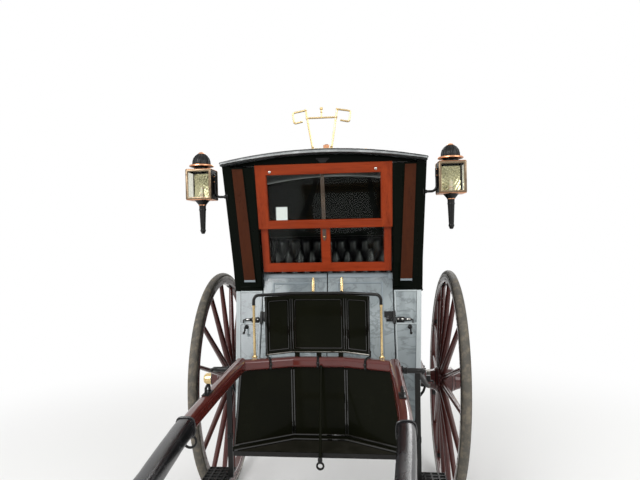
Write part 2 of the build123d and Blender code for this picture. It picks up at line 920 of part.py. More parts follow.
# Shafts with the cross bar, and the black sleeves on them
with BuildPart() as shafts:
    with BuildLine() as bar_path:
        Polyline(
            (-bar_half, at(bar_reach), bar_z),
            (-fold_half, at(fold_reach), bar_z - bar_sag),
            (fold_half, at(fold_reach), bar_z - bar_sag),
            (bar_half, at(bar_reach), bar_z),
        )
    with BuildSketch(Plane(origin=bar_path.line @ 0, z_dir=bar_path.line % 0, x_dir=(0, 0, 1))):
        RectangleRounded(bar_size, bar_size, 14)
    sweep(transition=Transition.RIGHT)
    for side, hand in SIDES:
        add(shaft_length(side, bar_reach - 12, shaft_reach - ferrule_length, 0))
        with BuildSketch(Plane.XZ.offset(-at(shaft_reach - ferrule_length - 1))):
            with Locations((side * shaft_bow[-1][1], shaft_z)):
                Circle(ferrule_radius)
        extrude(amount=ferrule_length + 1)
save(shafts, "shafts")

with BuildPart() as sleeves:
    for side, hand in SIDES:
        add(shaft_length(side, sleeve_start, sleeve_end, sleeve_wall))
        add(shaft_length(side, sleeve_start - 1, sleeve_end + 1, seat_gap), mode=Mode.SUBTRACT)
save(sleeves, "shaft_sleeves")

# Side rails along the cab, the springs that hang under them and their shackles
rail_x = half_at(rail_z + rail_height / 2) + rail_width / 2 + seat_gap
with BuildPart() as rails:
    for side, hand in SIDES:
        with BuildSketch(Plane.XZ.offset(-at(rail_front))):
            with Locations((side * rail_x, rail_z)):
                RectangleRounded(rail_width, rail_height, 8)
        extrude(amount=-(rail_front + rail_back))
save(rails, "side_rails")

arm_top_z = hub_z + arm_inner * sin(radians(camber)) + axle_bar / 2
with BuildPart() as springs:
    for side, hand in SIDES:
        for leaf in range(leaf_count):
            half = spring_span / 2 * (1 - 0.2 * leaf)
            rise = spring_rise * (half / (spring_span / 2)) ** 2
            low = arm_top_z + seat_gap + (leaf_count - 1 - leaf) * leaf_thickness
            with BuildSketch(Plane.YZ.offset(side * (spring_x - spring_width / 2))):
                with BuildLine():
                    ThreePointArc((axle_y - half, low + rise), (axle_y, low), (axle_y + half, low + rise))
                    Line((axle_y + half, low + rise), (axle_y + half, low + rise + leaf_thickness))
                    ThreePointArc(
                        (axle_y + half, low + rise + leaf_thickness),
                        (axle_y, low + leaf_thickness),
                        (axle_y - half, low + rise + leaf_thickness),
                    )
                    Line((axle_y - half, low + rise + leaf_thickness), (axle_y - half, low + rise))
                make_face()
            extrude(amount=side * spring_width)
save(springs, "springs")

with BuildPart() as spring_irons:
    for side, hand in SIDES:
        stack_top = arm_top_z + leaf_count * leaf_thickness + 1 + 2 * seat_gap
        with BuildSketch(Plane.XY.offset(stack_top)):
            with Locations((side * spring_x, axle_y)):
                RectangleRounded(spring_width + 22, clamp_length, 8)
        extrude(amount=clamp_thickness)
        eye_share = (spring_span / 2 - 4) / (spring_span / 2)
        eye_z = arm_top_z + seat_gap + spring_rise * eye_share**2 + leaf_count * leaf_thickness
        rail_under = rail_z - rail_height / 2
        for end in (-1, 1):
            with BuildSketch(Plane.YZ.offset(side * (spring_x - shackle_width / 2))):
                with Locations((axle_y + end * (spring_span / 2 - 14), (eye_z + rail_under) / 2)):
                    RectangleRounded(shackle_depth, rail_under - eye_z - 2 * seat_gap, 1)
            extrude(amount=side * shackle_width)
save(spring_irons, "spring_irons")

# Dash rail and its brass rods
with BuildPart() as dash_rail:
    dash_end = fold_reach + (dash_half - fold_half) * wing_slope
    rail_top = dash_head_z + rail_radius + seat_gap
    with BuildLine() as rail_path:
        FilletPolyline(
            (-rod_half, at(dash_end), rod_head_z),
            (-rod_half, at(dash_end), rail_top),
            (-fold_half, at(fold_reach - dash_thickness / 2), rail_top),
            (fold_half, at(fold_reach - dash_thickness / 2), rail_top),
            (rod_half, at(dash_end), rail_top),
            (rod_half, at(dash_end), rod_head_z),
            radius=rail_bend,
        )
    with BuildSketch(Plane(origin=rail_path.line @ 0, z_dir=rail_path.line % 0, x_dir=(1, 0, 0))):
        Circle(rail_radius)
    sweep()
save(dash_rail, "dash_rail")

with BuildPart() as rods:
    bar_slope = bar_sag / (bar_half - fold_half)
    foot_z = bar_z - (bar_half - rod_half) * bar_slope + bar_size / 2 + 0.8
    for side, hand in SIDES:
        with BuildSketch(Plane.XY.offset(foot_z)):
            with Locations((side * rod_half, at(dash_end))):
                Circle(rail_radius * 0.8)
        extrude(amount=rod_head_z - foot_z - seat_gap)
        with BuildSketch(Plane.XY.offset(foot_z)):
            with Locations((side * rod_half, at(dash_end))):
                Circle(rail_radius * 1.8)
        extrude(amount=6)
save(rods, "dash_rods")

# Stays from the cross bar back to the side rails, with the steps that hang from them
stay_end = shaft_section(bar_reach + stay_reach)
stay_start = stay_end[0] + stay_end[1] / 2 + seat_gap
stay_z = bar_z - 8
stay_low_z = bar_z - 90
with BuildPart() as steps:
    for side, hand in SIDES:
        with BuildLine() as stay_path:
            FilletPolyline(
                (side * stay_start, at(bar_reach + stay_reach), stay_z),
                (side * stay_half, at(bar_reach + stay_reach), stay_z),
                (side * stay_half, at(step_reach - 40), stay_low_z),
                (side * rail_x, at(rail_front + 190), rail_z),
                (side * rail_x, at(rail_front + seat_gap), rail_z),
                radius=stay_bend,
            )
        with BuildSketch(Plane(origin=stay_path.line @ 0, z_dir=stay_path.line % 0)):
            Circle(stay_radius)
        sweep(path=stay_path.line)
        with BuildSketch(Plane.XY.offset(step_z - step_depth / 2)):
            with Locations((side * stay_half, at(step_reach))):
                Rectangle(hanger_width, hanger_thickness)
        extrude(amount=stay_low_z + step_depth - step_z)
        with BuildSketch(Plane.XY.offset(step_z - step_depth)):
            with Locations((side * (stay_half + step_width / 2), at(step_reach))):
                Rectangle(step_width, step_length)
                with GridLocations(step_width / 4, step_length / 6, 4, 6):
                    Rectangle(step_width / 4 - step_bar, step_length / 6 - step_bar, mode=Mode.SUBTRACT)
        extrude(amount=step_depth)
save(steps, "step_irons")

# Lamps: a box with three lights, a vented dome, a candle tube and the bracket to the pillar
lamp_foot = lamp_z - lamp_height / 2
lamp_head = lamp_z + lamp_height / 2
dome_profile = (  # radius, height above the box
    (40, -1),
    (40, 14),
    (64, 22),
    (64, 29),
    (47, 33),
)
dome_crown = ((47, 33), (41, 66), (17, 90))
finial_profile = ((17, 90), (13, 94), (7, 102), (0, 102), (0, -1), (40, -1))
tail_profile = (  # radius, height above the box
    (0, 1 - lamp_height),
    (38, 1 - lamp_height),
    (19, -30 - lamp_height),
    (18, -60 - lamp_height),
    (13, tail_z - lamp_head + 12),
    (9, tail_z - lamp_head),
    (0, tail_z - lamp_head),
    (0, 1 - lamp_height),
)


def lamp_outline(x, profile):
    """Points of a round part of the lamp at x, from radii and heights above its box."""
    return [(x + radius, lamp_head + rise) for radius, rise in profile]


with BuildPart() as lamps:
    for side, hand in SIDES:
        x = side * lamp_x
        upright = Axis((x, at(lamp_reach), 0), (0, 0, 1))
        with BuildSketch(Plane.XY.offset(lamp_foot)):
            with Locations((x, at(lamp_reach))):
                Rectangle(lamp_width, lamp_depth)
        extrude(amount=lamp_height)
        with BuildSketch(Plane.XY.offset(lamp_foot + lamp_wall)):
            with Locations((x, at(lamp_reach))):
                Rectangle(lamp_width - 2 * lamp_wall, lamp_depth - 2 * lamp_wall)
        extrude(amount=lamp_height - 2 * lamp_wall, mode=Mode.SUBTRACT)
        with BuildSketch(Plane.XZ.offset(-at(lamp_reach))):
            with Locations((x, lamp_z)):
                Rectangle(lamp_width - 2 * lamp_frame, lamp_height - 2 * lamp_frame)
        extrude(amount=lamp_depth, mode=Mode.SUBTRACT)
        with BuildSketch(Plane.YZ.offset(x)):
            with Locations((at(lamp_reach), lamp_z)):
                Rectangle(lamp_depth - 2 * lamp_frame, lamp_height - 2 * lamp_frame)
        extrude(amount=side * lamp_width, mode=Mode.SUBTRACT)
        with BuildSketch(Plane.XZ.offset(-at(lamp_reach))):
            with BuildLine():
                Polyline(*lamp_outline(x, dome_profile))
                ThreePointArc(*lamp_outline(x, dome_crown))
                Polyline(*lamp_outline(x, finial_profile))
            make_face()
        revolve(axis=upright)
        with BuildSketch(Plane.XZ.offset(-at(lamp_reach))):
            with BuildLine():
                Polyline(*lamp_outline(x, tail_profile))
            make_face()
        revolve(axis=upright)
        bracket_x = lamp_x - lamp_width / 2 - bracket_radius + 1
        with BuildLine() as arm:
            FilletPolyline(
                (side * bracket_x, at(lamp_reach), lamp_z + lamp_height / 4),
                (side * bracket_x, at(lamp_reach), lamp_foot + 12),
                (side * (body_half + seat_gap), at(lamp_reach), lamp_foot + 12),
                radius=bracket_bend,
            )
        with BuildSketch(Plane(origin=arm.line @ 0, z_dir=arm.line % 0)):
            Circle(bracket_radius)
        sweep(path=arm.line)
save(lamps, "lamps")

with BuildPart() as lamp_glass:
    for side, hand in SIDES:
        x = side * lamp_x
        with BuildSketch(Plane.XZ.offset(-at(lamp_reach + lamp_depth / 2 - lamp_wall))):
            with Locations((x, lamp_z)):
                Rectangle(lamp_width - 2 * lamp_frame - 0.6, lamp_height - 2 * lamp_frame - 0.6)
        extrude(amount=3)
save(lamp_glass, "lamp_glass")

# Brass guide for the reins on the front of the roof
guide_foot = roof_edge_z + roof_crown
with BuildPart() as guide:
    with BuildSketch(Plane.XY.offset(guide_foot + seat_gap)):
        with Locations((0, at(guide_reach))):
            Rectangle(2 * guide_half + 14, 26)
    extrude(amount=6)
    for side, hand in SIDES:
        horn_foot = (side * guide_half, at(guide_reach), guide_foot + 2)
        turns = [
            (side * (guide_half + out), at(guide_reach), guide_foot + rise) for out, rise in guide_horn
        ]
        with BuildLine() as horn:
            FilletPolyline(horn_foot, *turns, radius=9)
        with BuildSketch(Plane(origin=horn.line @ 0, z_dir=horn.line % 0)):
            Circle(guide_rod)
        sweep(path=horn.line)
    with BuildSketch(Plane.YZ):
        with Locations((at(guide_reach), guide_foot + guide_cross)):
            Circle(guide_rod)
    extrude(amount=guide_half + guide_horn[0][0] * guide_cross / guide_horn[0][1], both=True)
    with BuildSketch(Plane.XY.offset(guide_foot + guide_cross)):
        with Locations((0, at(guide_reach))):
            Circle(guide_rod * 0.8)
    extrude(amount=guide_stem - guide_cross)
    with Locations((0, at(guide_reach), guide_foot + guide_stem)):
        Sphere(guide_ball)
save(guide, "rein_guide")

# Driver's perch: irons with the hoop and the whip socket, seat, foot board and cushion
with BuildPart() as perch_irons:
    iron_y = at(-back_reach - perch_iron_size / 2 - seat_gap)
    rest_x = perch_half - 12
    rest_z = perch_z + rest_height
    socket_x = perch_half + socket_radius - 4
    socket_y = at(-rear_reach + 180)
    for side, hand in SIDES:
        with BuildLine() as iron:
            FilletPolyline(
                (side * perch_iron_x, iron_y, perch_iron_low_z),
                (side * perch_iron_x, iron_y, perch_iron_low_z + 200),
                (side * perch_iron_x, at(-rear_reach + 130), perch_z - perch_board - 150),
                (side * perch_iron_x, at(-rear_reach + 130), perch_z - perch_board - seat_gap),
                radius=perch_iron_bend,
            )
        with BuildSketch(Plane(origin=iron.line @ 0, z_dir=iron.line % 0, x_dir=(1, 0, 0))):
            RectangleRounded(perch_iron_size, perch_iron_size, 6)
        sweep(path=iron.line)
        with BuildSketch(Plane.XY.offset(perch_foot_z - 20)):
            with Locations((side * (perch_iron_x - 18), at(-(back_reach + perch_foot_end) / 2))):
                Rectangle(30, perch_foot_end - back_reach - 2 * seat_gap)
        extrude(amount=20 - seat_gap)
        with BuildSketch(Plane.XY.offset(perch_z)):
            with Locations((side * rest_x, at(rest_y)), (side * rest_x, socket_y)):
                Circle(rest_radius)
        extrude(amount=rest_height)
    with BuildSketch(Plane.XY.offset(perch_z + 30)):
        with Locations((socket_x, socket_y)):
            Circle(socket_radius)
    extrude(amount=socket_length)
    with BuildSketch(Plane.XY.offset(perch_z + 40)):
        with Locations((socket_x, socket_y)):
            Circle(socket_bore)
    extrude(amount=socket_length, mode=Mode.SUBTRACT)
    with BuildLine() as hoop:
        FilletPolyline(
            (-rest_x, at(rest_front), rest_z),
            (-rest_x, at(rest_y), rest_z),
            (rest_x, at(rest_y), rest_z),
            (rest_x, at(rest_front), rest_z),
            radius=60,
        )
    with BuildSketch(Plane(origin=hoop.line @ 0, z_dir=hoop.line % 0)):
        Circle(rest_radius + 1)
    sweep(path=hoop.line)
save(perch_irons, "perch_irons")

with BuildPart() as perch_boards:
    with BuildSketch(Plane.XY.offset(perch_z - perch_board)):
        with Locations((0, at(-rear_reach + perch_depth / 2))):
            RectangleRounded(2 * perch_half, perch_depth, 40)
    extrude(amount=perch_board - seat_gap)
    with BuildSketch(Plane.XY.offset(perch_foot_z)):
        with Locations((0, at(-(back_reach + perch_foot_end + 20) / 2))):
            RectangleRounded(2 * (perch_iron_x - 14), perch_foot_end + 16 - back_reach, 12)
    extrude(amount=20)
save(perch_boards, "perch_boards")

with BuildPart() as perch_cushion:
    with BuildSketch(Plane.XY.offset(perch_z + seat_gap)):
        with Locations((0, at(-rear_reach + perch_depth / 2 + 6))):
            RectangleRounded(2 * perch_half - 50, perch_depth - 70, 40)
    extrude(amount=75)
    fillet(perch_cushion.faces().sort_by(Axis.Z)[-1].edges(), 20)
save(perch_cushion, "perch_cushion")

# Wooden trestle that holds the shafts level while the carriage is parked
with BuildPart() as stand:
    beam_top = shaft_z - shaft_section(stand_reach)[2] / 2 - seat_gap
    beam_under = beam_top - stand_beam
    leg_x = stand_half - 60
    with BuildSketch(Plane.XZ.offset(-at(stand_reach))):
        with Locations((0, beam_top - stand_beam / 2)):
            Rectangle(2 * stand_half, stand_beam)
    extrude(amount=stand_beam / 2, both=True)
    for side, hand in SIDES:
        for fore in (-1, 1):
            with BuildSketch(Plane.XY):
                with Locations((side * leg_x, at(stand_reach + fore * stand_spread))):
                    Rectangle(leg_width, stand_beam)
            with BuildSketch(Plane.XY.offset(beam_under)):
                with Locations((side * leg_x, at(stand_reach + fore * (stand_beam / 2 + 6)))):
                    Rectangle(leg_width, 50)
            loft(ruled=True)
        with BuildSketch(Plane.XY.offset(beam_under - 40)):
            with Locations((side * leg_x, at(stand_reach))):
                Rectangle(leg_width, 2 * stand_beam)
        extrude(amount=41)
        with BuildSketch(Plane.XY.offset(stretcher_z - 10)):
            with Locations((side * leg_x, at(stand_reach))):
                Rectangle(leg_width - 14, 1.44 * stand_spread)
        extrude(amount=60)
    with BuildSketch(Plane.XY.offset(stretcher_z)):
        with Locations((0, at(stand_reach))):
            Rectangle(2 * leg_x, 40)
    extrude(amount=40)
save(stand, "shaft_stand")
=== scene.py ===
# %% [markdown]
# # Dressing a hansom cab
# The carriage's solids come in as a fixed frame. Each has its true place in metres, with the
# front facing -Y. What follows gives every surface its finish and adds what is sewn, screwed or
# moulded onto the carriage. Nothing of the frame itself is moved.

# %% The frame
import math

import bmesh
import bpy
import numpy as np
from mathutils import Matrix, Vector
from mathutils import noise as field
from mathutils.bvhtree import BVHTree


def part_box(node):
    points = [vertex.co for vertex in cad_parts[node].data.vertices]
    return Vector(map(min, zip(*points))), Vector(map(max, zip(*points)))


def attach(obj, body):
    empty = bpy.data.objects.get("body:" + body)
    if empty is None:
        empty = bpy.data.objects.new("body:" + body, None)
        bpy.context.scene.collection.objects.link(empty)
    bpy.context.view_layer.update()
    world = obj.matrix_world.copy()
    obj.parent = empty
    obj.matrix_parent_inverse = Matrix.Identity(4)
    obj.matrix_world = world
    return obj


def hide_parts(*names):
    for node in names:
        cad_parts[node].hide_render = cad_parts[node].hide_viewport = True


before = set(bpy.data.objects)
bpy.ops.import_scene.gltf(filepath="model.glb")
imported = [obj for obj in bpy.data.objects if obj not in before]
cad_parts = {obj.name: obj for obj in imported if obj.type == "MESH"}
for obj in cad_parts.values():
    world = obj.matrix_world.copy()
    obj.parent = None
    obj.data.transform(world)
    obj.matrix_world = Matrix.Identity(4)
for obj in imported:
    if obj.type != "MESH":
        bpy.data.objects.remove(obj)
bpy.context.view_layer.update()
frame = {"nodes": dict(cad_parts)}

nodes = frame["nodes"]

# %% [markdown]
# ## The view
# The picture was taken from just inside the line of the shafts, at the height of the windows.
# A real camera's place and turn can be worked out from a few measured points, here the rims of
# both wheels, so they are set as plain numbers. A lens of 27 mm is short, which is why the wheels
# splay in the picture.

# %% Camera
EYE = Vector((0.2215, -2.1684, 1.687))
YAW, PITCH, ROLL = (math.radians(turn) for turn in (-5.364, -0.9969, -1.1445))
LENS = 27.271

ahead = Vector((math.sin(YAW) * math.cos(PITCH), math.cos(YAW) * math.cos(PITCH), math.sin(PITCH)))
level = Vector((math.cos(YAW), -math.sin(YAW), 0))
upright = level.cross(ahead)
across = level * math.cos(ROLL) + upright * math.sin(ROLL)
upward = upright * math.cos(ROLL) - level * math.sin(ROLL)
camera = bpy.data.objects.new("camera", bpy.data.cameras.new("camera"))
bpy.context.scene.collection.objects.link(camera)
camera.data.lens = LENS
camera.data.sensor_width = 36
camera.data.clip_start = 0.02
camera.matrix_world = Matrix.LocRotScale(
    EYE, Matrix((across, upward, -ahead)).transposed().to_quaternion(), None
)
bpy.context.scene.camera = camera
print("camera looks along", [round(part, 3) for part in ahead])

# %% [markdown]
# ## Writing shader maths as sums
# A finish is a small sum over the surface: so much of one colour, a little less where it is worn.
# Wiring Math nodes by hand hides that sum, so one small class stands for a socket and turns
# Python's operators into nodes. Every other node comes from one method, which sets the node's own
# settings first and then its sockets.

# %% Socket and node tree
class Strand:
    """A number or vector that runs through a tree of nodes. Sums on it add Math nodes."""

    def __init__(self, nodes, socket):
        self.nodes = nodes
        self.socket = socket

    def sum(self, operation, first, second=0.0):
        return self.nodes.node("ShaderNodeMath", {"operation": operation}, {0: first, 1: second})

    def __add__(self, other):
        return self.sum("ADD", self, other)

    def __radd__(self, other):
        return self.sum("ADD", other, self)

    def __sub__(self, other):
        return self.sum("SUBTRACT", self, other)

    def __rsub__(self, other):
        return self.sum("SUBTRACT", other, self)

    def __mul__(self, other):
        return self.sum("MULTIPLY", self, other)

    def __rmul__(self, other):
        return self.sum("MULTIPLY", other, self)

    def __gt__(self, other):
        return self.sum("GREATER_THAN", self, other)

    def __abs__(self):
        return self.sum("ABSOLUTE", self)


class NodeTree:
    """A tree of shader nodes, and the one way in which this script adds a node to it."""

    def __init__(self, tree):
        self.tree = tree

    def fill(self, socket, value):
        if isinstance(value, Strand):
            self.tree.links.new(value.socket, socket)
        elif hasattr(value, "__len__") and socket.type == "RGBA" and len(value) == 3:
            socket.default_value = (*value, 1)
        else:
            socket.default_value = value

    def node(self, kind, settings=None, inputs=None, output=0):
        """Adds a node and returns one of its outputs. An output node has none: it comes back itself."""
        made = self.tree.nodes.new(kind)
        for name, value in (settings or {}).items():
            setattr(made, name, value)
        for name, value in (inputs or {}).items():
            self.fill(made.inputs[name], value)
        return Strand(self, made.outputs[output]) if made.outputs else made


print("sums and products of strands become Math nodes")

# %% [markdown]
# ## A finish
# A material starts as one Principled shader. What varies over a real surface is where it lies,
# which way it faces and how the stuff itself is mottled, so a finish offers those three as strands,
# and a few ways to join them. All places are in metres, so a size in a material is a real size.

# %% Finish class
class Finish(NodeTree):
    """One material: its shader, and the strands that may feed it."""

    def __init__(self, name, **shader_values):
        self.material = bpy.data.materials.new(name)
        self.material.use_nodes = True
        super().__init__(self.material.node_tree)
        self.tree.nodes.clear()
        self.surface = self.node("ShaderNodeBsdfPrincipled")
        self.output = self.node("ShaderNodeOutputMaterial", None, {"Surface": self.surface})
        for socket, value in shader_values.items():
            self.set(socket.replace("_", " "), value)

    def set(self, socket, value):
        self.fill(self.surface.socket.node.inputs[socket], value)

    def show(self, surface):
        """Sends another shader to the output in place of the first."""
        self.fill(self.output.inputs["Surface"], surface)

    def place(self):
        """The point on the carriage, in metres. It moves with the piece."""
        return self.node("ShaderNodeTexCoord", output="Object")

    def along(self, axis):
        return self.node("ShaderNodeSeparateXYZ", None, {0: self.place()}, output=axis)

    def facing(self, axis):
        normal = self.node("ShaderNodeNewGeometry", output="Normal")
        return self.node("ShaderNodeSeparateXYZ", None, {0: normal}, output=axis)

    def stretched(self, scale):
        settings = {"operation": "MULTIPLY"}
        return self.node("ShaderNodeVectorMath", settings, {0: self.place(), 1: scale})

    def cloud(self, scale, stretch=(1, 1, 1), detail=3.0, roughness=0.55, twist=0.0):
        """Soft noise from 0 to 1, with patches about 1/scale metres across."""
        inputs = {
            "Vector": self.stretched(stretch), "Scale": scale, "Detail": detail,
            "Roughness": roughness, "Distortion": twist,
        }
        return self.node("ShaderNodeTexNoise", {"noise_dimensions": "3D"}, inputs)

    def pores(self, scale):
        """How far a point is from the edges between small uneven cells."""
        inputs = {"Vector": self.place(), "Scale": scale}
        return self.node("ShaderNodeTexVoronoi", {"feature": "DISTANCE_TO_EDGE"}, inputs)

    def between(self, value, low, high):
        """0 below low, 1 above high, smooth between."""
        settings = {"interpolation_type": "SMOOTHSTEP"}
        return self.node("ShaderNodeMapRange", settings, {0: value, 1: low, 2: high})

    def mixed(self, share, first, second):
        inputs = {0: share, 6: first, 7: second}
        return self.node("ShaderNodeMix", {"data_type": "RGBA"}, inputs, output=2)

    def bumped(self, height, distance, strength):
        inputs = {"Height": height, "Distance": distance, "Strength": strength}
        self.set("Normal", self.node("ShaderNodeBump", None, inputs))


def dress(node, finish):
    """Gives a solid of the frame its finish."""
    slots = nodes[node].data.materials
    slots.clear()
    slots.append(finish.material)


print("node helpers ready, finishes so far:", len(bpy.data.materials))

# %% [markdown]
# ## Coach paint
# Coach paint is many thin coats, rubbed down, under clear varnish. Black stays black, and what
# the eye reads is the varnish: a sheen with a faint ripple, dulled where dust settles on surfaces
# that look up. The shader's coat is the varnish, and a soft noise on the roughness below it is the
# rubbing.

# %% Black paints
ROAD_DUST = (0.32, 0.29, 0.24)


def coach_paint(name, dark, light, patch=5.0, gloss=0.22, dust=0.10, sheen=0.04):
    paint = Finish(name, Coat_Weight=sheen, Coat_Roughness=0.05, Specular_IOR_Level=0.03)
    mottle = paint.cloud(patch, detail=4.0)
    level = paint.between(paint.facing("Z"), 0.55, 0.95)
    dusty = level * paint.cloud(14.0, detail=5.0) * dust
    base = paint.mixed(mottle, dark, light)
    paint.set("Base Color", paint.mixed(dusty, base, ROAD_DUST))
    paint.set("Roughness", gloss + mottle * 0.12 + dusty * 1.5)
    paint.bumped(paint.cloud(90.0, detail=2.0), 0.00025, 0.35)
    return paint


black_lacquer = coach_paint("black_lacquer", (0.0006, 0.0015, 0.0006), (0.0018, 0.0034, 0.0016), dust=0.05)
black_panel = coach_paint(
    "black_panel", (0.0022, 0.0026, 0.0012), (0.0062, 0.0066, 0.0030), patch=6.0, gloss=0.20, dust=0.08
)
bead_black = coach_paint("bead_black", (0.001, 0.001, 0.001), (0.005, 0.005, 0.004), gloss=0.12, sheen=0.9)
bead_black.set("Coat IOR", 1.65)
print("black paints:", black_lacquer.material.name, black_panel.material.name, bead_black.material.name)

# %% [markdown]
# ## Maroon paint
# The shafts and the cross bar are maroon. The wheels have the same paint, rougher and more mottled
# with age, and their copy is a little darker in its red, which is painted shade, and greyer, which
# is a painted sheen. Both are the same function as the blacks, with other colours, because the
# paint is made and worn in the same way.

# %% Maroon paints
maroon_paint = coach_paint(
    "maroon_paint", (0.056, 0.0075, 0.0062), (0.100, 0.017, 0.013), patch=6.0, gloss=0.20, sheen=1.0
)
# The wheels' copy is darker in its red, a painted shade, and greyer, a painted sheen.
wheel_maroon = coach_paint(
    "wheel_maroon", (0.045, 0.0105, 0.0090), (0.100, 0.028, 0.024), patch=9.0, gloss=0.26, sheen=0.9
)
print("maroon paints:", maroon_paint.material.name, wheel_maroon.material.name)

# %% [markdown]
# ## The slate doors and quarter panels
# These panels are gloss dark paint that lies back towards the sky, and what shows is a cloudy
# slate grey. A studio has no sky, so that grey is a painted reflection of the sky, put in the
# paint's own colour: a large soft noise drawn out down the panel, with darker smears and thin
# veins that are painted reflection too. Where the smears lie, the paint is also rougher.

# %% Slate paint
slate_paint = Finish("slate_paint", Coat_Weight=0.35, Coat_Roughness=0.08, Specular_IOR_Level=0.3)
reflected_sky_drift = slate_paint.cloud(2.6, stretch=(1.0, 1.0, 0.55), detail=5.0, twist=0.6)
reflection_smear_and_dulling = slate_paint.between(slate_paint.cloud(7.0, stretch=(2.2, 1.0, 0.3), detail=4.0), 0.52, 0.75)
reflected_sky = slate_paint.mixed(
    slate_paint.between(reflected_sky_drift, 0.33, 0.66), (0.110, 0.138, 0.150), (0.285, 0.322, 0.330)
)
reflection_streak = slate_paint.cloud(5.5, stretch=(1.0, 1.0, 1.6), detail=6.0, roughness=0.62, twist=1.4)
reflection_vein = 1 - slate_paint.between(abs(reflection_streak - 0.5), 0.0, 0.055)
wear_and_smeared_reflection = slate_paint.mixed(reflection_smear_and_dulling * 0.65, reflected_sky, (0.080, 0.097, 0.105))
# The cloudy grey, its darker smears and the thin veins are painted reflection of the sky.
slate_paint.set("Base Color", slate_paint.mixed(reflection_vein * 0.42, wear_and_smeared_reflection, (0.060, 0.072, 0.080)))
slate_paint.set("Roughness", 0.20 + reflection_smear_and_dulling * 0.15)
slate_paint.bumped(slate_paint.cloud(60.0), 0.0003, 0.3)
edge_slate = coach_paint("edge_slate", (0.340, 0.380, 0.390), (0.540, 0.585, 0.590), patch=9.0, gloss=0.22)
pale_slate = coach_paint("pale_slate", (0.185, 0.225, 0.250), (0.300, 0.340, 0.360), patch=12.0, gloss=0.24)
print("slates:", slate_paint.material.name, edge_slate.material.name, pale_slate.material.name)

# %% [markdown]
# ## Varnished mahogany
# The sashes are mahogany under an orange red varnish. Wood is sawn along its grain, so the grain
# runs up the stiles and across the rails, and the two meet at a joint line. The mask that picks
# the direction is the distance from the middle of the window. The trestle is plain pale wood with
# the same grain.

# %% Mahogany
SASH_STILES = {"upper": 0.311, "lower": 0.327}


def varnished_wood(name, pale, deep, stile_from=None):
    wood = Finish(name, Coat_Weight=0.06, Coat_Roughness=0.07, Specular_IOR_Level=0.06)

    def grain(stretch):
        wide = wood.cloud(26.0, stretch=stretch, detail=6.0, roughness=0.62, twist=0.4)
        fine = wood.cloud(150.0, stretch=stretch, detail=3.0)
        return wide * 0.6 + fine * 0.4

    upright_grain = grain((1.0, 1.0, 0.06))
    figure = upright_grain
    if stile_from:
        level_grain = grain((0.06, 1.0, 1.0))
        in_stile = abs(wood.along("X")) > stile_from
        figure = upright_grain * in_stile + level_grain * (1 - in_stile)
    shade = wood.between(figure, 0.30, 0.62)
    colour = wood.mixed(shade, deep, pale)
    sooty = wood.between(wood.cloud(9.0, detail=4.0), 0.55, 0.8) * 0.30
    wood.set("Base Color", wood.mixed(sooty, colour, tuple(part * 0.45 for part in deep)))
    wood.set("Roughness", 0.24 + shade * 0.14)
    wood.bumped(figure, 0.0004, 0.25)
    return wood


# The upper sash's wood is a darker copy of the lower's: painted shade towards the top of the window.
upper_mahogany = varnished_wood(
    "upper_mahogany", (0.262, 0.038, 0.0100), (0.172, 0.023, 0.0068), SASH_STILES["upper"]
)
lower_mahogany = varnished_wood(
    "lower_mahogany", (0.300, 0.042, 0.0130), (0.200, 0.026, 0.0085), SASH_STILES["lower"]
)
dark_mahogany = varnished_wood("dark_mahogany", (0.056, 0.0140, 0.0045), (0.040, 0.0100, 0.0034))
stand_wood = varnished_wood("stand_wood", (0.36, 0.22, 0.11), (0.20, 0.11, 0.05))
print("stiles start at", SASH_STILES, "m from the middle of the window")

# %% [markdown]
# ## Rubber
# The solid rubber has greyed and picked up pale mud. Two noises do it: a coarse one for the grey
# patches and a fine one, cut off sharply, for the mud, which also makes the surface rougher.

# %% Tyre rubber
tyre_rubber = Finish("tyre_rubber", Specular_IOR_Level=0.3)
mud = tyre_rubber.between(tyre_rubber.cloud(30.0, detail=6.0, roughness=0.65), 0.42, 0.68)
patchy = tyre_rubber.cloud(5.0, detail=3.0)
rubber = tyre_rubber.mixed(patchy, (0.060, 0.056, 0.048), (0.105, 0.098, 0.083))
tyre_rubber.set("Base Color", tyre_rubber.mixed(mud * 0.6, rubber, (0.25, 0.21, 0.155)))
tyre_rubber.set("Roughness", 0.62 + mud * 0.25)
tyre_rubber.bumped(tyre_rubber.cloud(220.0, detail=4.0), 0.0006, 0.5)
print("rubber:", tyre_rubber.material.name)

# %% [markdown]
# ## Brass, copper, steel and iron
# Brass is polished, but a brown film stays where the cloth does not reach, and the film is rougher
# than the metal. The irons are painted black by brush, so they are less smooth than the panels,
# with a little rust at their pores.

# %% Polished metals
def polished(name, bright, film, roughness, tarnish=0.5):
    metal = Finish(name, Metallic=1.0)
    dull = metal.between(metal.cloud(38.0, detail=5.0, roughness=0.6), 0.45, 0.75) * tarnish
    metal.set("Base Color", metal.mixed(dull, bright, film))
    metal.set("Roughness", roughness + dull * 0.35)
    metal.bumped(metal.cloud(260.0, detail=2.0), 0.00015, 0.25)
    return metal


brass = polished("brass", (0.72, 0.54, 0.27), (0.34, 0.23, 0.11), 0.19)
copper = polished("copper", (0.72, 0.36, 0.20), (0.30, 0.13, 0.07), 0.24, tarnish=0.7)
bright_steel = polished("bright_steel", (0.60, 0.59, 0.56), (0.22, 0.19, 0.16), 0.26)
mirror = polished("mirror", (0.66, 0.63, 0.42), (0.40, 0.37, 0.23), 0.14, tarnish=0.6)
mirror.set("Metallic", 0.5)
bronze = polished("bronze", (0.25, 0.185, 0.120), (0.10, 0.068, 0.045), 0.30, tarnish=0.9)
worn_steel = polished("worn_steel", (0.22, 0.21, 0.19), (0.07, 0.045, 0.03), 0.42, tarnish=0.9)
print("finishes so far:", len(bpy.data.materials))

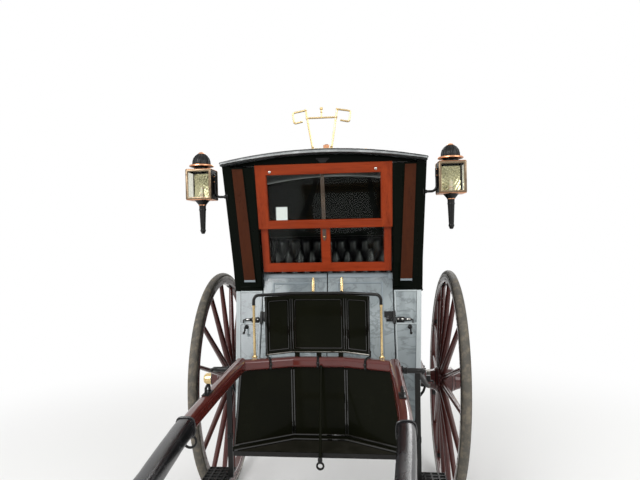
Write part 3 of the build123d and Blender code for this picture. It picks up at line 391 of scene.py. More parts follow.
# %% Painted iron
black_iron = Finish("black_iron", Coat_Weight=0.12, Coat_Roughness=0.15, Specular_IOR_Level=0.2)
brushed = black_iron.cloud(45.0, stretch=(1.0, 1.0, 0.35), detail=4.0)
rusty = black_iron.between(black_iron.cloud(70.0, detail=6.0, roughness=0.7), 0.66, 0.78) * 0.4
iron_paint = black_iron.mixed(brushed, (0.002, 0.002, 0.002), (0.009, 0.009, 0.0085))
black_iron.set("Base Color", black_iron.mixed(rusty, iron_paint, (0.070, 0.026, 0.012)))
black_iron.set("Roughness", 0.30 + brushed * 0.16 + rusty * 0.4)
black_iron.bumped(brushed, 0.0004, 0.3)
print("iron:", black_iron.material.name)

# %% [markdown]
# ## Leather
# Leather has small uneven cells, which a Voronoi texture draws as a bump. The roof is leather
# too, stretched flat, so its cells are smaller and nearly gone. Thread and rubber mats take the same
# sum with other numbers.

# %% Leathers
def hide(name, dark, light, pore, depth, gloss):
    leather = Finish(name, Coat_Weight=0.25, Coat_Roughness=0.25, IOR=1.48)
    pores = leather.pores(pore)
    wear_and_smeared_reflection = leather.between(leather.cloud(11.0, detail=4.0), 0.40, 0.75)
    leather.set("Base Color", leather.mixed(wear_and_smeared_reflection, dark, light))
    leather.set("Roughness", gloss + wear_and_smeared_reflection * 0.12)
    folds = leather.cloud(55.0, detail=3.0)
    leather.bumped(leather.between(pores, 0.0, 0.25) * 0.5 + folds * 0.5, depth, 0.55)
    return leather


black_leather = hide("black_leather", (0.006, 0.006, 0.007), (0.017, 0.017, 0.018), 420.0, 0.0006, 0.34)
roof_leather = hide("roof_leather", (0.028, 0.033, 0.034), (0.070, 0.078, 0.082), 700.0, 0.0003, 0.36)
sleeve_leather = hide(
    "sleeve_leather", (0.0035, 0.0035, 0.0045), (0.010, 0.0105, 0.0125), 520.0, 0.0001, 0.22
)
roof_edge_leather = hide(
    "roof_edge_leather", (0.004, 0.005, 0.005), (0.013, 0.014, 0.014), 600.0, 0.0003, 0.24
)
strap_leather = hide("strap_leather", (0.060, 0.032, 0.020), (0.120, 0.068, 0.045), 480.0, 0.0005, 0.42)
waxed_thread = hide("waxed_thread", (0.050, 0.046, 0.040), (0.110, 0.100, 0.085), 900.0, 0.0002, 0.55)
worn_rubber = hide("worn_rubber", (0.010, 0.010, 0.010), (0.030, 0.029, 0.027), 300.0, 0.0006, 0.60)
# The fall's pale grey is a painted sheen along the front edge of the roof.
painted_sheen_leather = hide("painted_sheen_leather", (0.200, 0.215, 0.215), (0.420, 0.440, 0.440), 500.0, 0.0003, 0.28)
print("leathers end with", painted_sheen_leather.material.name)

# %% [markdown]
# ## Lining cloth and candle wax
# The cloth inside is so dark and so far from the light that only a soft unevenness of its nap can
# be seen. Wax lets a little light through, which the shader's subsurface weight gives, and it runs
# down in streaks, so its noise is drawn out along the candle.

# %% Cloth and wax
lining_cloth = Finish("lining_cloth", Sheen_Weight=0.06, Specular_IOR_Level=0.05)
nap = lining_cloth.cloud(26.0, detail=2.0)
lining_cloth.set("Base Color", lining_cloth.mixed(nap, (0.0058, 0.0072, 0.0058), (0.0076, 0.0092, 0.0074)))
lining_cloth.set("Roughness", 0.85 + nap * 0.1)
lining_cloth.bumped(nap, 0.0006, 0.2)

candle_wax = Finish("candle_wax", Subsurface_Weight=0.15, Specular_IOR_Level=0.4)
drip = candle_wax.cloud(60.0, stretch=(1.0, 1.0, 0.2), detail=4.0)
candle_wax.set("Base Color", candle_wax.mixed(drip, (0.72, 0.64, 0.46), (0.84, 0.79, 0.66)))
candle_wax.set("Roughness", 0.40 + drip * 0.2)
print("cloth and wax:", lining_cloth.material.name, candle_wax.material.name)

# %% [markdown]
# ## Glass
# A pane is clear straight on and mirrors at a slant. For a thin pane it is enough to mix a
# see-through shader with a mirror, by a share that grows steeply with the slant and is the same on
# both faces. Nothing bends the view, and light still reaches the seat inside.

# %% Window and lamp glass
def pane(name, tint, polish):
    glass = Finish(name, Roughness=polish, Metallic=1.0, Base_Color=(0.9, 0.93, 0.92))
    clear = glass.node("ShaderNodeBsdfTransparent", None, {"Color": tint})
    slant = glass.node("ShaderNodeLayerWeight", None, {"Blend": 0.5}, output="Facing")
    share = slant * slant * slant * slant * slant * 0.9 + 0.007
    glass.show(glass.node("ShaderNodeMixShader", None, {0: share, 1: clear, 2: glass.surface}))
    return glass


window_glass = pane("window_glass", (0.93, 0.95, 0.935), 0.015)
lamp_glass = pane("lamp_glass", (0.96, 0.96, 0.93), 0.010)
print("glass:", window_glass.material.name, lamp_glass.material.name)

# %% [markdown]
# ## Dressing the solids
# The solids of the frame keep their shapes, and only their material slots are filled. One table
# says which finish goes on which solid, so a change of colour is a change of one word.

# %% Finishes onto the frame's solids
for finish, names in (
    (black_lacquer, "cab_side_left cab_side_right cab_back front_pillars perch_boards"),
    (black_panel, "dash front_panel footboard cab_floor seat_board"),
    (roof_leather, "roof hatch_lid"),
    (slate_paint, "quarter_panels door_left door_right"),
    (upper_mahogany, "sash_upper"),
    (lower_mahogany, "sash_lower"),
    (maroon_paint, "shafts side_rails springs"),
    (wheel_maroon, "wheel_left wheel_right"),
    (tyre_rubber, "tyre_left tyre_right"),
    (brass, "hub_cap_left hub_cap_right dash_rods rein_guide"),
    (black_iron, "axle spring_irons step_irons dash_rail quarter_hinges perch_irons lamps"),
    (black_iron, "door_hinges_left door_hinges_right"),
    (black_leather, "seat_cushion seat_squab side_squabs perch_cushion"),
    (sleeve_leather, "shaft_sleeves"),
    (window_glass, "window_glass"),
    (lamp_glass, "lamp_glass"),
    (stand_wood, "shaft_stand"),
):
    for node in names.split():
        dress(node, finish)
print("finishes:", len(bpy.data.materials))

# %% [markdown]
# ## Places on the carriage
# The front windows lean forward as they rise and the doors lean forward as they fall. Pieces on
# them are easiest to place in the flat's own directions: across, up along it, and out from it.
# The wheels lean too, so each has directions of its own: out along its arm, up, and fore.

# %% Leaning flats
RIGHT, BACK, UP = Vector((1, 0, 0)), Vector((0, 1, 0)), Vector((0, 0, 1))
FRONT, DOWN = Vector((0, -1, 0)), Vector((0, 0, -1))
SIDES = (-1, 1)
HANDS = ((-1, "left"), (1, "right"))

AXLE_Y = 1.025
# Doors and windows meet at the waist. The cab is upright above it and drawn in below it.
WAIST_REACH, WAIST_Z, WINDOW_HEAD_Z = 0.450, 1.352, 2.046
BODY_HALF, WAIST_TO_FLOOR, FLOOR_DRAW_IN = 0.528, 0.752, 0.048
WINDOW_RUN, WINDOW_RISE = 170, 694
DOOR_LEAN = 19


def ahead_of_axle(x, reach, z):
    return Vector((x, AXLE_Y - reach, z))


class Flat:
    """A flat of the cab that leans: across, up along it, and out from it."""

    def __init__(self, foot, lean):
        lean = math.radians(lean)
        self.foot = Vector(foot)
        self.across = RIGHT
        self.up = Vector((0, math.sin(lean), math.cos(lean)))
        self.out = Vector((0, -math.cos(lean), math.sin(lean)))
        self.way = (self.across, self.up, self.out)

    def at(self, across, up, out=0.0):
        return self.foot + self.across * across + self.up * up + self.out * out

    def up_to(self, z):
        """How far up the flat a height is."""
        return (z - self.foot.z) / self.up.z

    def field(self, middle, half, foot, head, out):
        """Corners of an upright field on the flat."""
        corners = ((-half, foot), (half, foot), (half, head), (-half, head))
        return [self.at(middle + across, up, out) for across, up in corners]

    def walked(self, start, side, steps):
        """Points from a start, by steps across to one side, out from the flat and down it."""
        return [
            start + RIGHT * side * across + self.out * out - self.up * down
            for across, out, down in steps
        ]


waist = (0, AXLE_Y - WAIST_REACH, WAIST_Z)
window_flat = Flat(waist, -math.degrees(math.atan2(WINDOW_RUN, WINDOW_RISE)))
door_flat = Flat(waist, DOOR_LEAN)
print("window foot to door foot:", round(door_flat.up_to(0.700), 3))

# %% Wheels
CAMBER, GATHER = math.radians(2.5), math.radians(1.0)
WHEEL_X, WHEEL_RADIUS = 0.728, 0.710


class Hub:
    """Middle of a wheel, with its directions: out along the arm, up, and fore."""

    def __init__(self, side):
        flat = math.cos(CAMBER)
        self.middle = Vector((side * WHEEL_X, AXLE_Y, WHEEL_RADIUS * math.cos(CAMBER)))
        self.out = Vector((side * flat * math.cos(GATHER), -flat * math.sin(GATHER), -math.sin(CAMBER)))
        self.up = (UP - self.out * self.out.z).normalized()
        self.fore = self.out.cross(self.up)

    def at(self, out, radius, turn):
        spoke = self.up * math.cos(turn) + self.fore * math.sin(turn)
        return self.middle + self.out * out + spoke * radius


hubs = {hand: Hub(side) for side, hand in HANDS}
print("wheel middles:", [[round(part, 3) for part in hub.middle] for hub in hubs.values()])

# %% [markdown]
# ## A small shop of shapes
# Most of what is added is made like real work: a rod bent to a line, a part turned on a lathe, a
# bar with eased edges, a moulding mitred round a panel. Each is a row of rings with faces between
# them, so one method makes the faces and the others only say where the rings lie. Several such
# shapes that are one piece on the real thing go into one mesh.

# %% Finished pieces
tally = {}


def dressed(piece, finish, body="carriage"):
    """Gives a piece its material and the body it rides on."""
    piece.data.materials.clear()
    piece.data.materials.append(finish.material)
    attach(piece, body)
    tally[piece.name] = sum(len(face.vertices) - 2 for face in piece.data.polygons)
    print(piece.name, "on", body, "with", tally[piece.name], "triangles")
    return piece


# %% Shape
class Shape:
    """Mesh of one piece while it is built from rods, turned parts, bars and mouldings."""

    def __init__(self):
        self.mesh = bmesh.new()

    def skin(self, rings, around=True, ended=True, joined=False):
        """Faces between rings of points; joined also closes the last ring onto the first."""
        rows = [[self.mesh.verts.new(point) for point in ring] for ring in rings]
        count = len(rows[0])
        pairs = list(zip(rows, rows[1:] + rows[:1] if joined else rows[1:]))
        for near, far in pairs:
            for k in range(count if around else count - 1):
                n = (k + 1) % count
                self.mesh.faces.new((near[k], near[n], far[n], far[k]))
        if ended and around and not joined:
            self.mesh.faces.new(rows[0][::-1])
            self.mesh.faces.new(rows[-1])
        return rows

    def turned(self, start, along, profile, sides=24):
        """A lathe-turned part. The profile has (distance along, radius)."""
        start, along = Vector(start), Vector(along).normalized()
        first = along.orthogonal().normalized()
        second = along.cross(first)
        turns = [2 * math.pi * k / sides for k in range(sides)]
        spokes = [first * math.cos(a) + second * math.sin(a) for a in turns]
        self.skin([
            [start + along * far + spoke * max(radius, 0.0004) for spoke in spokes]
            for far, radius in profile
        ])

    def rod(self, start, end, radius, sides=12):
        length = (Vector(end) - Vector(start)).length
        ease = min(radius * 0.3, length * 0.2)
        profile = ((0, radius - ease), (ease, radius), (length - ease, radius), (length, radius - ease))
        self.turned(start, Vector(end) - Vector(start), profile, sides)

    def ball(self, centre, radius, along=UP, sides=16, rows=8):
        swept = [math.pi * k / rows for k in range(rows + 1)]
        profile = [(-radius * math.cos(a), radius * math.sin(a)) for a in swept]
        self.turned(centre, along, profile, sides)

    def dome(self, foot, along, radius, height, sides=14):
        swept = [math.pi / 2 * k / 5 for k in range(6)]
        self.turned(foot, along, [(height * math.sin(a), radius * math.cos(a)) for a in swept], sides)

    def tube(self, points, radius, sides=10, joined=False):
        """A rod bent along points."""
        points = [Vector(point) for point in points]
        count = len(points)
        steps = []
        for k in range(count):
            before = points[k - 1] if joined or k else points[k]
            after = points[(k + 1) % count] if joined or k < count - 1 else points[k]
            steps.append((after - before).normalized())
        normal = steps[0].orthogonal().normalized()
        turns = [2 * math.pi * j / sides for j in range(sides)]
        rings = []
        for point, step in zip(points, steps):
            normal = (normal - step * normal.dot(step)).normalized()
            other = step.cross(normal)
            rings.append([point + (normal * math.cos(a) + other * math.sin(a)) * radius for a in turns])
        self.skin(rings, joined=joined)

    def bar(self, centre, size, ease=0.001, turned=(RIGHT, BACK, UP)):
        """A bar with eased edges. turned holds the directions of its three sizes."""
        x_way, y_way, z_way = turned
        half = [part / 2 for part in size]
        ease = min(ease, 0.45 * min(size))
        rings = []
        for level, inset in ((-half[2], ease), (-half[2] + ease, 0), (half[2] - ease, 0), (half[2], ease)):
            wide, deep = half[0] - inset, half[1] - inset
            corners = (
                (wide, deep - ease), (wide - ease, deep), (ease - wide, deep), (-wide, deep - ease),
                (-wide, ease - deep), (ease - wide, -deep), (wide - ease, -deep), (wide, ease - deep),
            )
            rings.append([Vector(centre) + x_way * u + y_way * v + z_way * level for u, v in corners])
        self.skin(rings)

    def moulding(self, path, out, section):
        """Runs a section round a path on a face, mitred. Section points are (inward, out)."""
        path = [Vector(point) for point in path]
        rings = []
        for k, corner in enumerate(path):
            before = (corner - path[k - 1]).normalized()
            after = (path[(k + 1) % len(path)] - corner).normalized()
            inward = (out.cross(before) + out.cross(after)).normalized()
            reach = 1 / max(0.3, inward.dot(out.cross(after)))
            rings.append([corner + inward * far * reach + out * high for far, high in section])
        self.skin(rings, joined=True)

    def made(self, name, finish, slot, body="carriage", crease=38):
        """The finished piece, smooth but for edges sharper than the crease."""
        bmesh.ops.recalc_face_normals(self.mesh, faces=self.mesh.faces)
        data = bpy.data.meshes.new(name)
        self.mesh.to_mesh(data)
        self.mesh.free()
        data.shade_smooth()
        data.set_sharp_from_angle(angle=math.radians(crease))
        piece = bpy.data.objects.new(name, data)
        bpy.context.scene.collection.objects.link(piece)
        return dressed(piece, finish, body)


print("ways to make a shape:", [name for name in vars(Shape) if name[0] != "_"])


# %% Arcs and softened squares
def arc(centre, first, second, radius, start, end, count):
    """Points on an arc in the plane of two directions, angles in degrees."""
    turns = [math.radians(start + (end - start) * k / (count - 1)) for k in range(count)]
    return [Vector(centre) + (first * math.cos(a) + second * math.sin(a)) * radius for a in turns]


def circle(centre, first, second, radius, count):
    return arc(centre, first, second, radius, 0, 360, count + 1)[:-1]


def squarish(turn, power):
    """Cosine and sine of a turn, drawn out towards the corners of a square."""
    return [math.copysign(abs(part) ** power, part) for part in (math.cos(turn), math.sin(turn))]


def cab_half(z):
    """Half width of the cab at a height."""
    share = max(0.0, (WAIST_Z - z) / WAIST_TO_FLOOR)
    return BODY_HALF - share * FLOOR_DRAW_IN


print("half width at the waist and the floor:", cab_half(WAIST_Z), round(cab_half(0.6), 3))

# %% [markdown]
# ## Sunk panels in the pillars
# Each front pillar has a long sunk panel of brown wood inside its black frame. The panels splay
# out a little towards the roof. A board fills the plain recess of the pillar, the brown panel lies
# on it, and a black bevel stands round its edge so that it looks let in. A pale slip at the foot
# is a painted highlight on the lower bevel.

# %% Pillar panels
PILLAR_MIDDLE, RECESS_WIDTH, RECESS, SLACK = 0.453, 0.066, 0.005, 0.0006
recess_foot, recess_head = 0.068, window_flat.up_to(WINDOW_HEAD_Z) - 0.052
# Middle and half width of the brown panel, at its foot and at its head.
PANEL_FOOT, PANEL_HEAD = (0.4435, 0.0335), (0.4640, 0.0305)
panel_foot, panel_head = 0.054, window_flat.up_to(WINDOW_HEAD_Z) - 0.012
BEVEL = (
    (-0.006, 0), (-0.006, 0.0022), (-0.0045, 0.0030), (-0.0015, 0.0030), (0.0012, 0.0006), (0.0012, 0.0),
)
panels, bevels, foot_highlights = Shape(), Shape(), Shape()


def on_panel(side, edge, up, out):
    """A point on a pillar's brown panel: edge is -1 and 1 at its two long sides."""
    share = (up - panel_foot) / (panel_head - panel_foot)
    middle = PANEL_FOOT[0] + share * (PANEL_HEAD[0] - PANEL_FOOT[0])
    half = PANEL_FOOT[1] + share * (PANEL_HEAD[1] - PANEL_FOOT[1])
    return window_flat.at(side * (middle + edge * half), up, out)


def panel_corners(side, foot, head, out, edge):
    """Corners of a field on the brown panel, between two heights."""
    corners = ((-edge, foot), (edge, foot), (edge, head), (-edge, head))
    return [on_panel(side, across, up, out) for across, up in corners]


for side in SIDES:
    centre = window_flat.at(side * PILLAR_MIDDLE, (recess_foot + recess_head) / 2, -RECESS / 2)
    board = (RECESS_WIDTH - SLACK, recess_head - recess_foot - SLACK, RECESS - 0.0004)
    bevels.bar(centre, board, 0.0003, window_flat.way)
    panels.skin([panel_corners(side, panel_foot, panel_head, out, 1) for out in (-0.0003, 0.0008)])
    bevels.moulding(panel_corners(side, panel_foot, panel_head, 0.0004, side), window_flat.out, BEVEL)
    # The pale slip at the foot of each panel is a painted highlight on the lower bevel.
    highlight_foot, highlight_head = panel_foot + 0.001, panel_foot + 0.0125
    foot_highlights.skin([panel_corners(side, highlight_foot, highlight_head, out, 0.96) for out in (0.0007, 0.0026)])
panels.made("pillar_panels", dark_mahogany, "mahogany")
bevels.made("pillar_bevels", black_lacquer, "black_lacquer")
foot_highlights.made("pillar_foot_highlights", pale_slate, "slate_paint")

# %% [markdown]
# ## Pillar wings, beads and the header
# The front of the cab widens towards the roof, while its sides stand upright. So each pillar has a
# tapered wing that folds back round its corner. A square bead stands along the window side of each
# pillar, a bar closes its foot, and a line runs under the header. The arch over the window has a
# small iron plate at its middle.

# %% Pillar wings
WING_ROWS = 12
fillets = Shape()
for side in SIDES:
    rows = []
    for share in np.linspace(0, 1, WING_ROWS):
        wide = 0.0015 + 0.0185 * share
        up = window_flat.up_to(WAIST_Z + share * (WINDOW_HEAD_Z - WAIST_Z))
        front = window_flat.at(side * 0.5275, up, 0.0006)
        rows.append([
            front + Vector((side * across, back, 0))
            for across, back in (
                (0, 0.001), (0, 0), (wide * 0.75, 0.0004), (wide, 0.004),
                (wide, 0.040), (wide * 0.6, 0.085), (0.0004, 0.130), (0, 0.125),
            )
        ])
    fillets.skin(rows)
fillets.made("pillar_fillets", black_lacquer, "black_lacquer", crease=30)

# %% Pillar beads and header plate
beads = Shape()
for side in SIDES:
    foot = window_flat.at(side * 0.3745, 0.004, 0.0015)
    head = window_flat.at(side * 0.3745, window_flat.up_to(2.040), 0.0015)
    beads.bar((foot + head) / 2, (0.008, (head - foot).length, 0.003), 0.001, window_flat.way)
    beads.bar(window_flat.at(side * 0.440, 0.022, 0.0012), (0.122, 0.010, 0.0026), 0.001, window_flat.way)
beads.bar(ahead_of_axle(0, 0.5975, 2.052), (0.740, 0.004, 0.006), 0.001)
beads.made("pillar_beads", black_lacquer, "black_lacquer")
plate = Shape()
plate.bar(ahead_of_axle(0, 0.5965, 2.078), (0.072, 0.005, 0.008), 0.001)
plate_face = ((-0.030, 2.074), (0.030, 2.074), (0.0135, 2.056), (-0.0135, 2.056))
plate.skin([[ahead_of_axle(x, reach, z) for x, z in plate_face] for reach in (0.5945, 0.5985)])
plate.made("header_plate", black_iron, "black_iron")

# %% [markdown]
# ## Sash furniture
# Two round-headed screws hold the upper sash, a brown leather strap hangs behind its foot rail to
# pull it by, and a thin moulding holds each pane. The strap is a flat band with a narrowed end and
# one stud, because a flat curve would show no thickness at its edge.

# %% Sash screws and strap
knobs = Shape()
for across, z in ((-0.288, 2.012), (0.282, 2.014)):
    foot = window_flat.at(across, window_flat.up_to(z), -0.002)
    for radius, height in ((0.0085, 0.005), (0.004, 0.008)):
        knobs.dome(foot, window_flat.out, radius, height)
knobs.made("sash_screws", bright_steel, "brass")

STRAP_X, STRAP_WIDTH, STRAP_NARROWS_AT = -0.006, 0.021, 1.64
STRAP_LINE = (
    (2.000, -0.0265), (1.900, -0.0280), (1.760, -0.0285), (1.725, -0.0275),
    (1.690, -0.0255), (1.648, -0.0215), (1.632, -0.0205),
)
STRAP_SECTION = (
    (-1, -0.0008), (-0.9, -0.0013), (0.9, -0.0013), (1, -0.0008),
    (1, 0.0008), (0.9, 0.0013), (-0.9, 0.0013), (-1, 0.0008),
)
strap, stud = Shape(), Shape()
rings = []
for z, out in STRAP_LINE:
    centre = window_flat.at(STRAP_X, window_flat.up_to(z), out)
    narrow = 0.35 if z < STRAP_NARROWS_AT else 1.0
    rings.append([
        centre + window_flat.across * u * STRAP_WIDTH / 2 * narrow + window_flat.out * w
        for u, w in STRAP_SECTION
    ])
strap.skin(rings)
strap.made("sash_strap", strap_leather, "mahogany")
stud.dome(window_flat.at(STRAP_X, window_flat.up_to(1.652), -0.0205), window_flat.out, 0.0045, 0.003)
stud.made("strap_stud", brass, "brass")

# %% Glazing beads
GLAZING = ((0, 0), (0, 0.0022), (0.0022, 0.0022), (0.004, 0))
EDGE_GAP = 0.0002
rail, lower_foot = window_flat.up_to(1.706), window_flat.up_to(1.455) + 0.046
glazing = Shape()
for middle, half, foot, head, out in (
    (0, 0.311, rail + 0.042, window_flat.up_to(2.048) - 0.052, -0.0085),
    (-0.1750, 0.1520, lower_foot, rail, -0.031),
    (0.1750, 0.1520, lower_foot, rail, -0.031),
):
    ring = window_flat.field(middle, half - EDGE_GAP, foot + EDGE_GAP, head - EDGE_GAP, out)
    glazing.moulding(ring, window_flat.out, GLAZING)
glazing.made("glazing_beads", upper_mahogany, "mahogany")

# %% [markdown]
# ## Door furniture
# The doors are framed panels. Each has a sunk field with a bevelled edge, a lug at its outer upper
# corner, an iron catch by the lock, and a brass barrel bolt near the meeting edge. The pieces ride
# on their door, so they swing with it, and each is placed by a height, because heights can be
# read off a picture.

# %% Door fields
DOOR_HALF, MEETING_GAP, FIELD_BORDER, FIELD_SLACK = 0.368, 0.003, 0.055, 0.0004
DOOR_FOOT, DOOR_HEAD = door_flat.up_to(0.742), door_flat.up_to(1.448)
FIELD_EDGE = ((0, 0), (0, 0.0045), (0.003, 0.0055), (0.007, 0.003), (0.009, 0.0))
door_middle = (DOOR_HALF + MEETING_GAP) / 2
field_half = (DOOR_HALF - 2 * FIELD_BORDER) / 2 - FIELD_SLACK
field_foot = DOOR_FOOT + FIELD_BORDER + FIELD_SLACK
field_head = DOOR_HEAD - FIELD_BORDER - FIELD_SLACK
for side, hand in HANDS:
    trim = Shape()
    ring = door_flat.field(side * door_middle, field_half, field_foot, field_head, -0.0035)
    trim.moulding(ring, door_flat.out, FIELD_EDGE)
    rail = door_flat.at(side * door_middle, DOOR_HEAD - 0.016, 0.002)
    trim.bar(rail, (DOOR_HALF - 0.005, 0.024, 0.004), 0.0015, door_flat.way)
    lug = door_flat.at(side * (DOOR_HALF - 0.006), DOOR_HEAD - 0.022, 0.003)
    trim.bar(lug, (0.030, 0.036, 0.006), 0.002, door_flat.way)
    trim.made(f"door_trim_{hand}", pale_slate, "slate_paint", f"door_{hand}")

# %% Door catches and bolts
LOCK_Z, BOLT_Z = 1.195, 1.350
BARREL = [(0, 0.0025)]
for k in range(7):
    low = 0.002 + k * 0.0098
    BARREL += [(low, 0.0028), (low + 0.0018, 0.0050), (low + 0.0068, 0.0050), (low + 0.0086, 0.0028)]
BARREL += [(0.0720, 0.0024), (0.0735, 0.0040), (0.078, 0.0044), (0.0810, 0.0022)]
for side, hand in HANDS:
    catch, bolt = Shape(), Shape()
    seat = door_flat.at(side * 0.344, door_flat.up_to(LOCK_Z), 0.0034)
    catch.bar(seat, (0.034, 0.022, 0.006), 0.0015, door_flat.way)
    catch.bar(seat + door_flat.up * 0.014, (0.020, 0.012, 0.004), 0.001, door_flat.way)
    catch.dome(seat + door_flat.out * 0.0028 + RIGHT * side * 0.006, door_flat.out, 0.0060, 0.005)
    catch.made(f"door_catch_{hand}", black_iron, "black_iron", f"door_{hand}")
    foot = door_flat.at(side * 0.082, door_flat.up_to(BOLT_Z), 0.0065)
    plate_middle = foot + door_flat.up * 0.034 - door_flat.out * 0.0055
    bolt.bar(plate_middle, (0.0135, 0.078, 0.002), 0.0008, door_flat.way)
    bolt.turned(foot - door_flat.up * 0.004, door_flat.up, BARREL, 16)
    for v in (-0.002, 0.074):
        bolt.dome(foot + door_flat.up * v - door_flat.out * 0.0045, door_flat.out, 0.0026, 0.0016, 8)
    bolt.made(f"door_bolt_{hand}", brass, "brass", f"door_{hand}")

# %% [markdown]
# ## Quarter panel furniture
# The quarter panels beside the doors carry a black lock with a bright knob, a hook that holds the
# door open, and pale mouldings down their edges and along the belt. The facing at the outer edge
# follows the side of the cab, which is drawn in towards the floor, so its rows are worked out
# from the half width at each height.

# %% Quarter panel facings and beads
BELT_Z = 1.174
FACING = (
    (0, 0.0002), (0, 0.0020), (0.004, 0.0042), (0.009, 0.0042), (0.012, 0.0022),
    (0.0252, 0.0022), (0.0252, 0.0002),
)
facings, edges = Shape(), Shape()
for side in SIDES:
    rows = []
    for z in (1.350, 1.150, 0.950, 0.702):
        outer, v = cab_half(z) - 0.0003, door_flat.up_to(z)
        rows.append([door_flat.at(side * (outer - inward), v, out) for inward, out in FACING])
    facings.skin(rows)
    belt = [
        door_flat.at(side * x, door_flat.up_to(BELT_Z), 0.0008)
        for x in (cab_half(BELT_Z) - 0.026, 0.3755)
    ]
    edges.tube(belt, 0.0055, 8)
    stile = [door_flat.at(side * 0.381, door_flat.up_to(z), 0.001) for z in (1.345, 0.710)]
    edges.tube(stile, 0.0036, 8)
    edges.tube([door_flat.at(side * x, -0.006, 0.001) for x in (0.500, 0.377)], 0.004, 8)
facings.made("quarter_edges", edge_slate, "slate_paint")
edges.made("quarter_beads", edge_slate, "slate_paint")

# %% Locks and hooks
HOOK_Z = 1.157
# Steps to the side, out from the door and down it.
HANDLE = ((0.055, 0.004, 0), (0.066, 0.012, 0.004), (0.064, 0.014, 0.022))
HOOK = ((0, 0, 0), (0, 0.030, 0), (0, 0.042, 0.010), (0, 0.040, 0.028), (0, 0.052, 0.038))
locks, bright = Shape(), Shape()
for side in SIDES:
    outward = RIGHT * side
    centre = door_flat.at(side * 0.405, door_flat.up_to(LOCK_Z), 0.0065)
    locks.bar(centre, (0.046, 0.026, 0.012), 0.003, door_flat.way)
    locks.bar(centre + outward * 0.040, (0.038, 0.014, 0.010), 0.003, door_flat.way)
    locks.tube(door_flat.walked(centre, side, HANDLE), 0.0042, 8)
    bright.dome(centre + door_flat.out * 0.006 + outward * 0.010, door_flat.out, 0.0075, 0.007)
    bright.dome(centre + door_flat.out * 0.0055 - outward * 0.013, door_flat.out, 0.0045, 0.004)
    keeper = centre + outward * 0.044 + door_flat.out * 0.006
    bright.bar(keeper, (0.022, 0.006, 0.003), 0.001, door_flat.way)
    root = door_flat.at(side * 0.455, door_flat.up_to(HOOK_Z), 0.0)
    locks.dome(root, door_flat.out, 0.013, 0.005)
    locks.tube(door_flat.walked(root, side, HOOK), 0.0046, 8)
    locks.ball(root + door_flat.out * 0.054 - door_flat.up * 0.040, 0.0075)
locks.made("door_locks", black_iron, "black_iron")
bright.made("lock_knobs", bright_steel, "brass")

# %% [markdown]
# ## Dash and front panel
# Dash and front panel are patent leather over an iron frame, folded in three. A moulded bead
# frames each of the dash's three faces, and pairs of upright beads cover the folds of the panel
# below, whose foot is bound with a thick half-round. A bead that crosses a fold would have to
# bend, so each face gets its own frame, with the directions of that face.

# %% Faces of the folded panels
FOLD_HALF, FOLD_REACH = 0.122, 1.000
WING_HALF, WING_REACH = 0.338, 1.112
WING_SLOPE = (WING_REACH - FOLD_REACH) / (WING_HALF - FOLD_HALF)


def folded(x, z, out=0.0):
    """A point on the front of the folded panels, and a little out from it."""
    if abs(x) <= FOLD_HALF:
        return ahead_of_axle(x, FOLD_REACH + out, z)
    side = math.copysign(1, x)
    run = math.hypot(1, WING_SLOPE)
    reach = FOLD_REACH + (abs(x) - FOLD_HALF) * WING_SLOPE
    return ahead_of_axle(x - side * out * WING_SLOPE / run, reach + out / run, z)


def folded_out(x):
    if abs(x) <= FOLD_HALF:
        return FRONT
    return (folded(x, 0, 1.0) - folded(x, 0, 0.0)).normalized()


def framed_face(shape, low_x, high_x, low_z, high_z, corner, section):
    """A mitred frame with rounded upper corners on one face of the folded panels."""
    ring = [(low_x, low_z), (high_x, low_z)]
    turns = [math.radians(90 * j / 4) for j in range(5)]
    for x, inward in ((high_x, -1), (low_x, 1)):
        bend = [
            (x + inward * corner * (1 - math.cos(a)), high_z - corner * (1 - math.sin(a))) for a in turns
        ]
        ring += bend[::-inward]
    shape.moulding([folded(x, z) for x, z in ring], folded_out((low_x + high_x) / 2), section)


print("a wing of the dash turns back by", round(math.degrees(math.atan(WING_SLOPE)), 1), "degrees")

# %% Dash frames
FRAME = ((0, 0), (0, 0.0020), (0.0015, 0.0045), (0.0040, 0.0045), (0.0058, 0.0012), (0.0058, 0.0))
FRAME_FOOT, FRAME_HEAD, FRAME_CORNER = 1.1535, 1.3805, 0.010
BORDER_HEAD, HIGHLIGHT_STRIP_Z = 1.397, 1.1395
dash_frames, dash_borders, painted_highlight_strip = Shape(), Shape(), Shape()
for low_x, high_x in ((-0.221, -0.136), (-0.109, 0.109), (0.136, 0.221)):
    framed_face(dash_frames, low_x, high_x, FRAME_FOOT, FRAME_HEAD, FRAME_CORNER, FRAME)
for side in SIDES:
    for x, foot_z, out, radius in (
        (0.1175, 1.135, 0.0012, 0.0030), (0.1285, 1.135, 0.0012, 0.0030), (0.229, 1.136, 0.001, 0.0040),
    ):
        dash_borders.tube([folded(side * x, z, out) for z in (foot_z, BORDER_HEAD)], radius, 8)
# The pale steel strip along the foot of the dash is a painted highlight on the black gloss there.
painted_highlight_strip.tube([folded(x, HIGHLIGHT_STRIP_Z, 0.0015) for x in (-0.231, -0.122, 0.122, 0.231)], 0.0040, 8)
painted_highlight_strip.made("dash_painted_highlight", worn_steel, "black_iron")
dash_frames.made("dash_frames", bead_black, "black_panel")
dash_borders.made("dash_borders", bead_black, "black_panel")

# %% Front panel beads and binding
PANEL_TOP, PANEL_BOTTOM = 1.075, 0.735


def panel_edge(z):
    """Half width of the front panel at a height: it widens towards its foot."""
    share = (PANEL_TOP - z) / (PANEL_TOP - PANEL_BOTTOM)
    return 0.342 + share * 0.030


